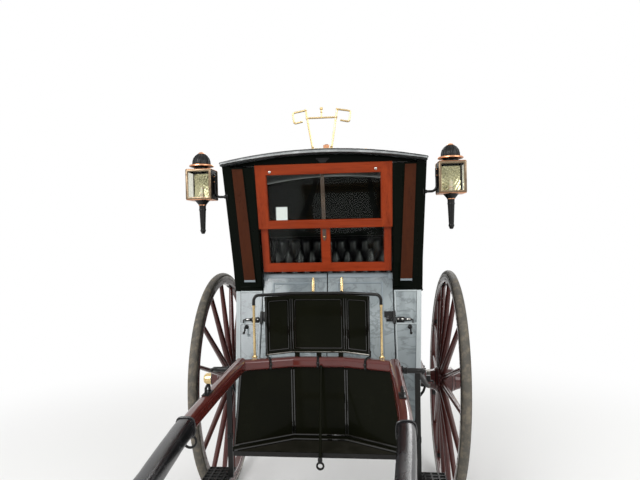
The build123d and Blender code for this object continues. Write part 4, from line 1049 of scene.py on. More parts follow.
panel_beads = Shape()
for side in SIDES:
    for x in (0.1165, 0.1275):
        panel_beads.tube([folded(side * x, z, 0.0012) for z in (0.757, 1.058)], 0.0032, 8)
    edge = [folded(side * (panel_edge(z) - 0.006), z, 0.0005) for z in (0.757, 0.90, 1.066)]
    panel_beads.tube(edge, 0.0052, 8)
for z, radius, out in ((0.7585, 0.0045, 0.004), (0.7390, 0.0050, 0.008)):
    half = panel_edge(z) - 0.001
    corners = (-half, -FOLD_HALF - 0.002, FOLD_HALF + 0.002, half)
    panel_beads.tube([folded(x, z, out) for x in corners], radius, 8)
panel_beads.made("panel_beads", bead_black, "black_panel")

# %% [markdown]
# ## Hooks over the cross bar
# Three round irons come from the dash, bend over the cross bar and end in a round drop in front of
# it. They are rods bent along a line of points, given as distances ahead of the panel and heights
# over the middle of the bar.

# %% Bar hooks
BAR_Z, BAR_HALF, WING_RISE = 1.093, 0.023, 0.006
HOOK_LINE = (
    (-BAR_HALF - 0.0005, 0.052), (-BAR_HALF - 0.0005, BAR_HALF + 0.0005), (0.010, BAR_HALF + 0.0015),
    (BAR_HALF + 0.0005, BAR_HALF - 0.006), (BAR_HALF + 0.0015, 0.0), (BAR_HALF + 0.0005, -0.012),
)
clips = Shape()
for x, lift in ((-0.221, WING_RISE), (-0.003, 0.0), (0.221, WING_RISE)):
    middle, out = folded(x, BAR_Z + lift), folded_out(x)
    path = [middle + out * ahead + UP * rise for ahead, rise in HOOK_LINE]
    clips.tube(path, 0.0055, 8)
    clips.dome(path[-2] + out * 0.003, out, 0.0075, 0.005)
    clips.ball(path[-1] - UP * 0.004, 0.0068)
clips.made("bar_hooks", black_iron, "black_iron")

# %% [markdown]
# ## Rails of the dash
# Brass rods stand on the cross bar and meet the black dash rail at the bend. Each has a turned
# collar at both ends, where it screws into its socket. The brace rod before the front panel ends in
# an eye with a ring.

# %% Rod collars
ROD_X = 0.284
FOOT_COLLAR = ((0, 0.0080), (0.003, 0.0070), (0.006, 0.0058), (0.009, 0.0060), (0.012, 0.0055))
HEAD_COLLAR = ((0, 0.0058), (0.002, 0.0068), (0.0095, 0.0070), (0.010, 0.0060))
collars = Shape()
rod_low, rod_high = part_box("dash_rods")
for side in SIDES:
    y = (rod_low.y + rod_high.y) / 2
    collars.turned((side * ROD_X, y, rod_low.z + 0.006), UP, FOOT_COLLAR)
    collars.turned((side * ROD_X, y, rod_high.z - 0.010), UP, HEAD_COLLAR)
collars.made("rod_collars", brass, "brass")

# %% Eye of the brace
BRACE_X, BRACE_REACH = 0.012, 1.1566
EYE_SOCKET = ((0, 0.0062), (0.004, 0.0095), (0.014, 0.0105), (0.022, 0.0075))
eye = Shape()
eye.turned(ahead_of_axle(BRACE_X, BRACE_REACH, 0.703) + UP * 0.022, (0, -0.05, -1), EYE_SOCKET)
eye.tube(circle(ahead_of_axle(BRACE_X, BRACE_REACH, 0.6885), RIGHT, UP, 0.0140, 24), 0.0042, 8, joined=True)
eye.made("brace_eye", black_iron, "black_panel")

# %% [markdown]
# ## Steps, stays and the footboard's edge
# The footboard has an iron nosing along its front edge, held by screws. The stays that carry the
# steps have a collar with a knob where they meet the shafts, and small scrolls brace them.

# %% Nosing
NOSING_REACH, NOSING_Z, NOSING_SCREWS = 1.1326, 0.7237, 9
nosing = Shape()
nosing.bar(ahead_of_axle(0, NOSING_REACH + 0.0008, NOSING_Z), (0.744, 0.0022, 0.0215), 0.0008)
for k in range(NOSING_SCREWS):
    screw = ahead_of_axle(-0.340 + k * 0.085, NOSING_REACH + 0.0018, NOSING_Z)
    nosing.dome(screw, FRONT, 0.0034, 0.0014, 10)
nosing.made("footboard_nosing", black_iron, "black_panel")

# %% Stay collars and scrolls
STAY_X = 0.452
STAY_COLLAR = (
    (0, 0.019), (0.004, 0.020), (0.008, 0.0135), (0.016, 0.0125), (0.020, 0.015), (0.024, 0.0118),
)
SCROLL = (
    (0, 0), (0.006, -0.022), (-0.004, -0.050), (-0.024, -0.076), (-0.044, -0.100),
    (-0.050, -0.112), (-0.042, -0.122), (-0.032, -0.114),
)
stay_irons = Shape()
for side in SIDES:
    stay_irons.turned(ahead_of_axle(side * 0.3625, 1.146, 1.097), (side, 0, 0), STAY_COLLAR)
    stay_irons.dome(ahead_of_axle(side * STAY_X, 1.157, 1.097), FRONT, 0.0085, 0.008)
    stay_irons.bar(ahead_of_axle(side * STAY_X, 0.900, 0.700), (0.028, 0.016, 0.030), 0.003)
    stay_irons.dome(ahead_of_axle(side * STAY_X, 0.9075, 0.700), FRONT, 0.0075, 0.006)
    root = ahead_of_axle(side * 0.516, 0.600, 0.880)
    stay_irons.tube([root + Vector((side * x, 0, z)) for x, z in SCROLL], 0.0068, 10)
stay_irons.made("stay_irons", black_iron, "black_iron")

# %% [markdown]
# ## Lamps
# Carriage lamps burn a candle that a spring pushes up a long tube. The glass sits in bronzed
# bezels, a silvered reflector stands behind the flame, and air leaves under a ribbed dome with a
# copper lip. All of it is turned or folded sheet, so lathe profiles and mitred bezels make it.

# %% Lamp bezels
LAMP_X, LAMP_REACH, LAMP_Z = 0.676, 0.570, 1.957
LAMP_HALF_X, LAMP_HALF_Y, LAMP_HALF_Z = 0.067, 0.060, 0.080
BEZEL = ((0, 0.0), (0, 0.0018), (0.002, 0.0026), (0.0062, 0.0026), (0.0100, 0.0008), (0.0100, 0.0))
CORNER_POST = ((0, 0.0026), (0.002, 0.0032), (0.158, 0.0032), (0.160, 0.0026))
bezels = Shape()
lamp_middles = [(side, ahead_of_axle(side * LAMP_X, LAMP_REACH, LAMP_Z)) for side in SIDES]
for side, middle in lamp_middles:
    for out, across_way, half, far in (
        (FRONT, RIGHT, LAMP_HALF_X, LAMP_HALF_Y),
        (BACK, -RIGHT, LAMP_HALF_X, LAMP_HALF_Y),
        (RIGHT * side, BACK * side, LAMP_HALF_Y, LAMP_HALF_X),
    ):
        face = middle + out * (far + 0.0001)
        ring = [
            face + across_way * u * (half - EDGE_GAP) + UP * v * (LAMP_HALF_Z - EDGE_GAP)
            for u, v in ((-1, -1), (1, -1), (1, 1), (-1, 1))
        ]
        bezels.moulding(ring, out, BEZEL)
    for along in (-1, 1):
        for way in (-1, 1):
            corner = middle + Vector((along * (LAMP_HALF_X + 0.001), way * (LAMP_HALF_Y + 0.001), 0))
            bezels.turned(corner - UP * LAMP_HALF_Z, UP, CORNER_POST, 10)
bezels.made("lamp_bezels", bronze, "brass")

# %% Reflectors, candles and side glass
CANDLE = (
    (0, 0.020), (0.004, 0.021), (0.010, 0.014), (0.024, 0.0135), (0.028, 0.016), (0.031, 0.0125),
    (0.031, 0.0105), (0.062, 0.0102), (0.066, 0.006), (0.067, 0.0012), (0.075, 0.0009),
)
COLUMNS, ROWS = 29, 25
reflectors, candles, side_panes = Shape(), Shape(), Shape()


def hammered(u, v):
    """How far a hammered reflector stands back, u and v running from -1 to 1 over it."""
    bowl = 0.016 * (1 - min(1.0, (u * u + v * v) * 0.62))
    facet = 0.0013 * math.sin(15.5 * u + 4.5 * v) * math.cos(17.5 * v - 4.5 * u)
    return bowl + facet - 0.016


for side, middle in lamp_middles:
    pane_size = (0.0022, 2 * LAMP_HALF_Y - 0.0206, 2 * LAMP_HALF_Z - 0.0206)
    side_panes.bar(middle + RIGHT * side * (LAMP_HALF_X - 0.003), pane_size, 0.0004)
    back = middle + BACK * (LAMP_HALF_Y - 0.0065)
    rows = []
    for j in range(ROWS):
        v = 2 * j / (ROWS - 1) - 1
        rows.append([
            back + Vector((u * (LAMP_HALF_X - 0.010), hammered(u, v), v * (LAMP_HALF_Z - 0.012)))
            for u in (2 * k / (COLUMNS - 1) - 1 for k in range(COLUMNS))
        ])
    reflectors.skin(rows, around=False, ended=False)
    inner = middle - RIGHT * side * (LAMP_HALF_X - 0.0045)
    reflectors.bar(inner, (0.0015, 2 * LAMP_HALF_Y - 0.022, 2 * LAMP_HALF_Z - 0.022), 0.0004)
    candles.turned(middle - UP * (LAMP_HALF_Z - 0.004), UP, CANDLE, 18)
reflectors.made("lamp_reflectors", mirror, "brass")
candles.made("lamp_candles", candle_wax, "brass")
side_panes.made("lamp_side_glass", lamp_glass, "lamp_glass")

# %% Lamp domes, lips and tails
LIP = ((0, 0.050), (0, 0.0655), (0.0018, 0.0672), (0.0045, 0.0672), (0.0085, 0.0650), (0.0088, 0.048))
FINIAL = (
    (0, 0.0185), (0.003, 0.0200), (0.0065, 0.0165), (0.0110, 0.0120), (0.0135, 0.0060), (0.0140, 0.0010)
)
FUNNEL = ((0, 0.0405), (0.003, 0.0415), (0.006, 0.0392), (0.020, 0.0272), (0.0280, 0.0208))
TAIL_COLLAR = ((0, 0.0200), (0.001, 0.0218), (0.0042, 0.0218), (0.0052, 0.0195))
TAIL_BEAD = ((0, 0.0186), (0.002, 0.0200), (0.006, 0.0200), (0.008, 0.0184))
TAIL_END = ((0, 0.0135), (0.003, 0.0152), (0.008, 0.0152), (0.014, 0.0128), (0.022, 0.0095), (0.0255, 0.0040))
ARM_SOCKET = ((0, 0.022), (0.004, 0.022), (0.006, 0.0115), (0.022, 0.0100))
RIB_LINE = ((0.0475, 0.0335), (0.0462, 0.050), (0.0415, 0.066), (0.0310, 0.080), (0.0185, 0.0895))
RIBS, VENTS = 16, 12
PLATE = (2 * LAMP_HALF_X + 0.006, 2 * LAMP_HALF_Y + 0.006, 0.005)


def level_way(turn):
    return Vector((math.cos(turn), math.sin(turn), 0))


lips, ribs, tails = Shape(), Shape(), Shape()
for side, middle in lamp_middles:
    head, foot = middle + UP * LAMP_HALF_Z, middle - UP * LAMP_HALF_Z
    lips.turned(head + UP * 0.0215, UP, LIP, 36)
    lips.turned(head + UP * 0.0895, UP, FINIAL, 20)
    lips.bar(head + UP * 0.0022, PLATE, 0.0018)
    lips.bar(foot - UP * 0.0022, PLATE, 0.0018)
    for k in range(RIBS):
        way = level_way(2 * math.pi * k / RIBS)
        ribs.tube([head + way * radius + UP * rise for radius, rise in RIB_LINE], 0.0036, 6)
    for k in range(VENTS):
        way = level_way(2 * math.pi * (k + 0.5) / VENTS)
        ribs.dome(head + UP * 0.0105 + way * 0.0396, way, 0.0040, 0.0012, 10)
    ribs.turned(foot - UP * 0.001, DOWN, FUNNEL, 28)
    tails.turned(foot - UP * 0.028, DOWN, TAIL_COLLAR, 28)
    ribs.turned(foot - UP * 0.052, DOWN, TAIL_BEAD, 24)
    ribs.turned((middle.x, middle.y, 1.712), DOWN, TAIL_END, 22)
    arm = middle - RIGHT * side * (LAMP_HALF_X + 0.006)
    ribs.bar(arm + UP * 0.030, (0.013, 0.026, 0.052), 0.003)
    ribs.turned((side * 0.5283, middle.y, foot.z + 0.012), (side, 0, 0), ARM_SOCKET, 18)
    for rise in (0.045, 0.015):
        tails.dome(arm + FRONT * 0.013 + UP * rise, FRONT, 0.0035, 0.0025, 10)
lips.made("lamp_lips", copper, "brass")
ribs.made("lamp_ribs", black_iron, "black_iron")
tails.made("lamp_collars", copper, "brass")
print("lamps done,", sum(tally.values()), "triangles so far")

# %% [markdown]
# ## Wheels
# A carriage wheel is eight bent felloes on sixteen spokes, held by a steel channel that also grips
# the rubber. What the plain solid lacks is the channel's two lips, the bolts beside each spoke, the
# joints of the felloes, the bands that hold the nave together and the turned brass cap. All of it
# lies in rings round the arm, so it is placed by distance out, radius and turn.

# %% Tyre channels
RIM, FELLOE_FOOT, SPOKES, FELLOES = 0.680, 0.632, 16, 8
CHANNEL = (
    (0.0254, RIM - 0.010), (0.0272, RIM - 0.009), (0.0272, RIM + 0.0045), (0.0262, RIM + 0.0062),
    (0.0235, RIM + 0.0050), (0.0235, RIM + 0.0005), (0.0254, RIM),
)


def hoop(shape, hub, profile, turns):
    """A band round the arm of a wheel. The profile has (distance out, radius)."""
    shape.skin([
        [hub.at(out, radius, 2 * math.pi * k / turns) for k in range(turns)] for out, radius in profile
    ], joined=True)


for hand, hub in hubs.items():
    channel = Shape()
    for way in (-1, 1):
        hoop(channel, hub, [(way * out, radius) for out, radius in CHANNEL], 96)
    channel.made(f"tyre_channel_{hand}", worn_steel, "black_iron", f"wheel_{hand}")

# %% Felloe bolts and joints
JOINT_LINE = (
    (-0.0256, 0.642), (-0.0256, 0.670), (-0.013, 0.6804), (0.013, 0.6804),
    (0.0256, 0.670), (0.0256, 0.642), (0.013, 0.6316), (-0.013, 0.6316),
)
JOINT_HALF_TURN = 0.0008 / 0.65
felloe_turns = [2 * math.pi * (k + 0.5) / FELLOES for k in range(FELLOES)]
for hand, hub in hubs.items():
    bolts, joints = Shape(), Shape()
    for k in range(SPOKES):
        for offset in (-0.030, 0.030):
            for way in (-1, 1):
                turn = 2 * math.pi * k / SPOKES + offset
                foot = hub.at(way * 0.0248, (RIM + FELLOE_FOOT) / 2 - 0.002, turn)
                bolts.dome(foot, hub.out * way, 0.0046, 0.0026, 8)
    for turn in felloe_turns:
        inward = hub.middle - hub.at(0, 0.6, turn)
        for low, high in ((-0.052, -0.018), (0.018, 0.052)):
            strap = [
                hub.at(out, FELLOE_FOOT - 0.0012, turn + along / FELLOE_FOOT)
                for along, out in ((low, -0.016), (low, 0.016), (high, 0.016), (high, -0.016))
            ]
            bolts.skin([strap, [point + (hub.middle - point).normalized() * 0.0020 for point in strap]])
            screw = hub.at(0, FELLOE_FOOT - 0.003, turn + (low + high) / 2 / FELLOE_FOOT)
            bolts.dome(screw, inward, 0.0055, 0.0032, 8)
        joints.skin([
            [hub.at(out, radius, turn + way * JOINT_HALF_TURN) for out, radius in JOINT_LINE]
            for way in (-1, 1)
        ])
    bolts.made(f"felloe_bolts_{hand}", black_iron, "black_iron", f"wheel_{hand}")
    joints.made(f"felloe_joints_{hand}", wheel_maroon, "maroon_paint", f"wheel_{hand}")

# %% Nave bands, lines and washers
INNER_BAND = ((-0.128, 0.0525), (-0.1295, 0.0555), (-0.1200, 0.0585), (-0.1080, 0.0600), (-0.1070, 0.0560))
OUTER_BAND = (
    (0.0945, 0.0480), (0.0965, 0.0520), (0.1005, 0.0520), (0.1012, 0.0480), (0.1005, 0.0380),
    (0.0990, 0.0380),
)
NAVE_LINES = ((-0.078, 0.0672), (0.046, 0.0662), (0.028, 0.0806), (-0.062, 0.0806))
LINE = ((-0.0016, -0.0004), (-0.0012, 0.0014), (0.0012, 0.0014), (0.0016, -0.0004))
WASHER = ((-0.1300, 0.0220), (-0.1300, 0.0400), (-0.1318, 0.0415), (-0.1340, 0.0400), (-0.1340, 0.0220))
for hand, hub in hubs.items():
    bands, lines, washers = Shape(), Shape(), Shape()
    hoop(bands, hub, INNER_BAND, 40)
    hoop(bands, hub, OUTER_BAND, 40)
    bands.made(f"nave_bands_{hand}", worn_steel, "black_iron", f"wheel_{hand}")
    for out, radius in NAVE_LINES:
        hoop(lines, hub, [(out + along, radius + rise) for along, rise in LINE], 40)
    lines.made(f"nave_lines_{hand}", bead_black, "black_lacquer", f"wheel_{hand}")
    hoop(washers, hub, WASHER, 36)
    washers.made(f"arm_washers_{hand}", bright_steel, "black_iron")

# %% Rings and bolts of the brass caps
FOOT_RING = ((0.1000, 0.0385), (0.1010, 0.0412), (0.1050, 0.0420), (0.1085, 0.0408), (0.1095, 0.0376))
HEAD_RING = ((0.1380, 0.0352), (0.1395, 0.0372), (0.1425, 0.0372), (0.1440, 0.0345))
CAP_BOSS = (
    (0, 0.0270), (0.0012, 0.0262), (0.0022, 0.0200), (0.0018, 0.0150), (0.0040, 0.0110), (0.0052, 0.0010),
)
CAP_SCREWS, CAP_SCREW_OUT = 8, 0.1035
for hand, hub in hubs.items():
    cap = Shape()
    hoop(cap, hub, FOOT_RING, 48)
    hoop(cap, hub, HEAD_RING, 48)
    cap.turned(hub.at(0.1545, 0, 0), hub.out, CAP_BOSS, 32)
    for k in range(CAP_SCREWS):
        foot = hub.at(CAP_SCREW_OUT, 0.0416, 2 * math.pi * k / CAP_SCREWS)
        cap.dome(foot, foot - hub.at(CAP_SCREW_OUT, 0, 0), 0.0030, 0.0018, 8)
    cap.made(f"cap_rings_{hand}", brass, "brass", f"wheel_{hand}")
print("wheels done,", sum(tally.values()), "triangles so far")

# %% [markdown]
# ## Springs
# The leaves of a spring are held at the middle by U-bolts and a clip plate, and each end rolls into
# an eye round a shackle bolt. Small clips keep the leaves together on both sides of the axle.

# %% Spring bolts, eyes and clips
SPRING_X, BOLT_OFF, EYE_OFF = 0.558, 0.0275, 0.026
NUT = ((0, 0.0095), (0.0075, 0.0095), (0.0085, 0.0080))
irons = Shape()
spring_low, spring_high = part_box("springs")
top = spring_low.z + 0.036
eye_z = spring_high.z - 0.004
for side in SIDES:
    for way in (-1, 1):
        y = AXLE_Y + way * 0.028
        for x in (side * (SPRING_X - BOLT_OFF), side * (SPRING_X + BOLT_OFF)):
            irons.rod((x, y, top - 0.052), (x, y, top + 0.022), 0.0055, 10)
            irons.turned((x, y, top + 0.012), UP, NUT, 6)
        y = AXLE_Y + way * 0.436
        inner, outer = (side * (SPRING_X - EYE_OFF), y, eye_z), (side * (SPRING_X + EYE_OFF), y, eye_z)
        irons.rod(inner, outer, 0.0090, 16)
        irons.dome(outer, (side, 0, 0), 0.0115, 0.006)
        irons.dome(inner, (-side, 0, 0), 0.0115, 0.006)
        irons.bar((side * SPRING_X, AXLE_Y + way * 0.255, spring_low.z + 0.030), (0.050, 0.022, 0.041), 0.004)
irons.made("spring_bolts", black_iron, "black_iron")

# %% [markdown]
# ## Shafts
# Along the shafts are the fittings that the harness hooks to: a staple with a hanging ring under
# each, a stop for the tug loop, and a long leather sleeve sewn along its underside where the
# harness would rub the paint. The tips have turned ferrules. Each stitch is a short bar rather
# than a line in the material, so it stands proud and casts a shadow.

# %% Line of the shafts
SHAFT_BOW = (
    (1.100, 0.336), (1.500, 0.336), (1.700, 0.333), (1.850, 0.325), (1.970, 0.314),
    (2.100, 0.301), (2.250, 0.290), (2.450, 0.281), (3.050, 0.270),
)
SHAFT_Z, SHAFT_ROOT, SHAFT_TIP = 1.105, (0.050, 0.058), (0.034, 0.036)
SHAFT_START, SHAFT_END = 1.112, 3.050


def shaft_at(reach):
    """Half spacing, width and height of a shaft where it lies this far ahead of the axle."""
    half = float(np.interp(reach, [row[0] for row in SHAFT_BOW], [row[1] for row in SHAFT_BOW]))
    share = (reach - SHAFT_START) / (SHAFT_END - SHAFT_START)
    width, height = (root + share * (tip - root) for root, tip in zip(SHAFT_ROOT, SHAFT_TIP))
    return half, width, height


def round_shaft(side, reach, proud, power, count):
    """Points round a shaft, a little proud of its paint and with softened corners."""
    half, width, height = shaft_at(reach)
    wide, tall = width / 2 + proud, height / 2 + proud
    turns = (squarish(2 * math.pi * k / count, power) for k in range(count))
    return [ahead_of_axle(side * half + wide * u, reach, SHAFT_Z + tall * v) for u, v in turns]


print("shaft at the sleeve's start:", [round(part, 3) for part in shaft_at(1.785)])

# %% Leather sleeves
SLEEVE_START, SLEEVE_END = 1.785, 2.560
SEAM_LINE = (1.790, 1.850, 1.970, 2.100, 2.250, 2.450, 2.556)
sleeves, sleeve_ends, threads = Shape(), Shape(), Shape()
for side in SIDES:
    rows = []
    for reach in np.linspace(SLEEVE_START, SLEEVE_END, 40):
        swell = 0.0048 + 0.0006 * field.noise(Vector((side * 3.0, reach * 14.0, 0.0)))
        rows.append(round_shaft(side, reach, swell, 0.62, 28))
    sleeves.skin(rows)
    for reach in (SLEEVE_START + 0.0025, SLEEVE_END - 0.0025):
        sleeve_ends.tube(round_shaft(side, reach, 0.0062, 0.6, 32), 0.0032, 8, joined=True)
    for reach in np.arange(SLEEVE_START + 0.015, SLEEVE_END - 0.015, 0.0105):
        half, width, height = shaft_at(reach)
        for offset in (-0.0055, 0.0055):
            stitch = ahead_of_axle(side * half + offset, reach, SHAFT_Z - height / 2 - 0.0054)
            threads.bar(stitch, (0.0016, 0.0066, 0.0014), 0.0005)
    ridge = [
        ahead_of_axle(side * half, reach, SHAFT_Z - height / 2 - 0.0046)
        for reach, (half, width, height) in ((reach, shaft_at(reach)) for reach in SEAM_LINE)
    ]
    sleeve_ends.tube(ridge, 0.0026, 8)
sewn_sleeves = sleeves.made("sewn_sleeves", sleeve_leather, "sleeve_leather", crease=60)
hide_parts("shaft_sleeves")
threads.made("sleeve_stitches", waxed_thread, "sleeve_leather")
sleeve_ends.made("sleeve_welts", sleeve_leather, "sleeve_leather")

# %% Shaft rings, stops and ferrules
STAPLE_REACH = 1.750
TIP_REACH, TIP_X = 3.005, 0.270
TIP_RING = ((-0.004, 0.0158), (-0.001, 0.0192), (0.004, 0.0196), (0.007, 0.0164), (0.010, 0.0156))
TIP_BAND = ((0, 0.0152), (0.002, 0.0163), (0.007, 0.0163), (0.0105, 0.0150))
fittings, ferrules = Shape(), Shape()
for side in SIDES:
    half, width, height = shaft_at(STAPLE_REACH)
    under = SHAFT_Z - height / 2 - 0.0055
    x = side * half
    fittings.bar(ahead_of_axle(x, STAPLE_REACH, under - 0.001), (width * 0.62, 0.046, 0.004), 0.001)
    for reach in (STAPLE_REACH - 0.016, STAPLE_REACH + 0.016):
        leg = ahead_of_axle(x, reach, under)
        fittings.rod(leg, leg - UP * 0.011, 0.0036, 8)
        fittings.dome(leg - UP * 0.003, DOWN, 0.0062, 0.003, 10)
    crossing = [ahead_of_axle(x, STAPLE_REACH + step, under - 0.0115) for step in (-0.018, 0.018)]
    fittings.rod(*crossing, 0.0034, 8)
    ring_middle = ahead_of_axle(x, STAPLE_REACH, under - 0.0275)
    fittings.tube(circle(ring_middle, RIGHT, UP, 0.0195, 28), 0.0040, 8, joined=True)
    for reach, tall in ((1.560, 0.030), (2.600, 0.022)):
        half, width, height = shaft_at(reach)
        top = SHAFT_Z + height / 2
        fittings.bar(ahead_of_axle(side * half, reach, top + 0.0015), (width * 0.55, 0.060, 0.004), 0.001)
        bow = ((-0.020, 0), (-0.018, tall * 0.8), (0, tall), (0.018, tall * 0.8), (0.020, 0))
        fittings.tube(
            [ahead_of_axle(side * half, reach + step, top + rise) for step, rise in bow], 0.0048, 10
        )
    tip = ahead_of_axle(side * TIP_X, TIP_REACH, SHAFT_Z)
    ferrules.turned(tip, FRONT, TIP_RING, 24)
    ferrules.turned(tip + FRONT * 0.034, FRONT, TIP_BAND, 24)
fittings.made("shaft_rings", black_iron, "black_iron")
ferrules.made("shaft_ferrules", brass, "brass")

# %% [markdown]
# ## Trestle bolts
# The wooden trestle that holds the shafts up is put together with coach bolts: nuts at the front and
# the back of its top beam, and round heads on the outside of the legs. Each is one turned profile.

# %% Trestle bolts
TRESTLE_REACH = 2.680
BOLT_NUT = ((0, 0.013), (0.002, 0.013), (0.002, 0.009), (0.008, 0.009), (0.009, 0.007))
coach_bolts = Shape()
for side in SIDES:
    for way in (-1, 1):
        nut = ahead_of_axle(side * 0.360, TRESTLE_REACH + way * 0.0352, 1.045)
        coach_bolts.turned(nut, (0, -way, 0), BOLT_NUT, 12)
        for x, step, z, radius, height in (
            (0.3822, 0.045, 0.992, 0.011, 0.006), (0.3756, 0.150, 0.360, 0.010, 0.005)
        ):
            head = ahead_of_axle(side * x, TRESTLE_REACH - way * step, z)
            coach_bolts.dome(head, (side, 0, 0), radius, height)
coach_bolts.made("trestle_bolts", worn_steel, "black_iron")
print("shafts done,", sum(tally.values()), "triangles so far")

# %% [markdown]
# ## Roof edge
# The roof's leather is nailed over a welt that runs right round its edge, and a strip of leather
# falls over the front so that the water runs off it. The strip's pale grey is a painted sheen along
# the roof's front edge. The roof is crowned: its edge lies on a circle, and one function gives the
# height at any place across it.

# %% Roof welt
ROOF_HALF, ROOF_CROWN, ROOF_EDGE = 0.545, 0.055, 2.068
ROOF_RADIUS = (ROOF_HALF ** 2 + ROOF_CROWN ** 2) / (2 * ROOF_CROWN)
roof_low, roof_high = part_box("roof")


def roof_at(x):
    """Height of the crowned roof at x."""
    return ROOF_EDGE + math.sqrt(ROOF_RADIUS ** 2 - x ** 2) - (ROOF_RADIUS - ROOF_CROWN)


across_roof = [ROOF_HALF * (k / 14 - 1) for k in range(29)]
welt = Shape()
for proud, drop, radius, sides in ((0.001, 0.007, 0.0065, 10), (0.0005, 0.0190, 0.0035, 8)):
    front_edge = [Vector((x, roof_low.y - proud, roof_at(x) - drop)) for x in across_roof]
    back_edge = [Vector((x, roof_high.y + proud, roof_at(x) - drop)) for x in across_roof[::-1]]
    welt.tube(front_edge + back_edge, radius, sides, joined=True)
welt.made("roof_welt", roof_edge_leather, "roof_leather")
NAILS, NAIL_STEP, NAIL_PROUD, NAIL_DROP = 45, 0.024, 0.0062, 0.0125
nails = Shape()
for k in range(NAILS):
    x = -0.528 + k * NAIL_STEP
    for y, way in ((roof_low.y - NAIL_PROUD, -1), (roof_high.y + NAIL_PROUD, 1)):
        nails.dome((x, y, roof_at(x) - NAIL_DROP), (0, way, -0.2), 0.0026, 0.0014, 8)
nails.made("roof_nails", black_iron, "roof_leather")

# %% Leather fall along the front of the roof
fall = Shape()
rows = []
for x in across_roof:
    depth = 0.020 - 0.006 * (abs(x) / ROOF_HALF) ** 2
    rows.append([
        Vector((x, roof_low.y + back, roof_at(x) + rise))
        for back, rise in (
            (0.030, 0.0006), (0.012, 0.0016), (0.001, -0.001), (-0.007, -0.008),
            (-0.0115, -depth * 0.72), (-0.0125, -depth), (-0.0095, -depth - 0.0015),
            (-0.002, -depth * 0.8), (0.010, 0.0002),
        )
    ])
fall.skin(rows)
# The pale grey of the fall is a painted sheen.
fall.made("roof_fall", painted_sheen_leather, "roof_leather", crease=60)

# %% [markdown]
# ## Lining
# Inside, the walls above the squab are lined with dark cloth. It is a thin sheet with a welt along
# its lower edge, cut round the two small windows in the back and the side windows. A cut sheet
# is easiest as a few thin boards that meet, because it lies flat on its wall.

# %% Cloth lining
BACK_REACH, BACK_THICK, LINING_OFF = -0.430, 0.022, 0.0018
CLOTH = 0.0030
lining, lining_welts = Shape(), Shape()
back_y = AXLE_Y - BACK_REACH - BACK_THICK - LINING_OFF
for low_x, high_x, low_z, high_z in (
    (-0.350, 0.350, 1.645, 2.030), (0.352, 0.498, 1.645, 1.772), (-0.498, -0.352, 1.645, 1.772),
    (0.352, 0.498, 1.884, 2.030), (-0.498, -0.352, 1.884, 2.030), (0.454, 0.498, 1.773, 1.883),
    (-0.498, -0.454, 1.773, 1.883),
):
    middle = ((low_x + high_x) / 2, back_y, (low_z + high_z) / 2)
    lining.bar(middle, (high_x - low_x, CLOTH, high_z - low_z), 0.0008)
for side in SIDES:
    wall_x = side * (0.502 - LINING_OFF)
    for low_y, high_y, low_z, high_z in (
        (0.620, 1.420, 1.360, 1.436), (0.560, 1.420, 1.944, 2.030), (1.268, 1.420, 1.437, 1.943),
    ):
        middle = (wall_x, (low_y + high_y) / 2, (low_z + high_z) / 2)
        lining.bar(middle, (CLOTH, high_y - low_y, high_z - low_z), 0.0008)
    lining_welts.tube([(wall_x - side * 0.002, y, 1.9435) for y in (0.575, 1.425)], 0.0035, 8)
lining_welts.tube([(x, back_y - 0.0015, 1.650) for x in (-0.497, 0.497)], 0.0040, 8)
lining.made("cab_lining", lining_cloth, "black_leather")
lining_welts.made("lining_welts", black_leather, "black_leather")

# %% [markdown]
# ## Body mouldings
# Half-round mouldings cover the joints of the side and back panels: one at the waist, one round
# each side window, and uprights at the corners. They are half in the panel, so a tube with its
# middle on the surface shows the half that is there. The corners of the window's moulding are
# Bezier bends, which need only the corner and the two points where the bend starts and ends.

# %% Side mouldings
FRONT_LEAN = math.tan(math.radians(13.76))
SIDE_WINDOW = ((0.330, 1.450), (-0.230, 1.450), (-0.230, 1.930), (0.330 + 0.480 * FRONT_LEAN, 1.930))
WINDOW_BORDER, WINDOW_BEND, BEND_STEPS = 0.010, 0.050, 6


def rounded_window(corners):
    """Reach and height of points round a window, outside it and with bends at its corners."""
    for k, corner in enumerate(corners):
        corner = Vector(corner)
        to_before = (Vector(corners[k - 1]) - corner).normalized()
        to_after = (Vector(corners[(k + 1) % len(corners)]) - corner).normalized()
        grown = corner - (to_before + to_after) * WINDOW_BORDER
        start, end = grown + to_before * WINDOW_BEND, grown + to_after * WINDOW_BEND
        for j in range(BEND_STEPS + 1):
            t = j / BEND_STEPS
            yield start * (1 - t) ** 2 + grown * 2 * t * (1 - t) + end * t ** 2


mouldings = Shape()
for side in SIDES:
    window_loop = [ahead_of_axle(side * BODY_HALF, point.x, point.y) for point in rounded_window(SIDE_WINDOW)]
    mouldings.tube(window_loop, 0.0068, 8, joined=True)
    for radius, sides, line in (
        (0.0085, 10, [(BODY_HALF, reach, WAIST_Z) for reach in (0.447, BACK_REACH)]),
        (0.0075, 10, [(BODY_HALF, BACK_REACH + 0.0055, z) for z in (0.985, WAIST_Z, 2.070)]),
        (0.0060, 8, [(cab_half(z), -0.345, z) for z in (1.345, 0.95, 0.615)]),
        (0.0075, 8, [(cab_half(0.612), reach, 0.612) for reach in (0.690, -0.330)]),
        (0.0065, 8, [(BODY_HALF, 0.441 + (z - WAIST_Z) * FRONT_LEAN, z) for z in (1.356, 2.050)]),
    ):
        mouldings.tube([ahead_of_axle(side * x, reach, z) for x, reach, z in line], radius, sides)
print("moulding round a side window:", len(window_loop), "points")

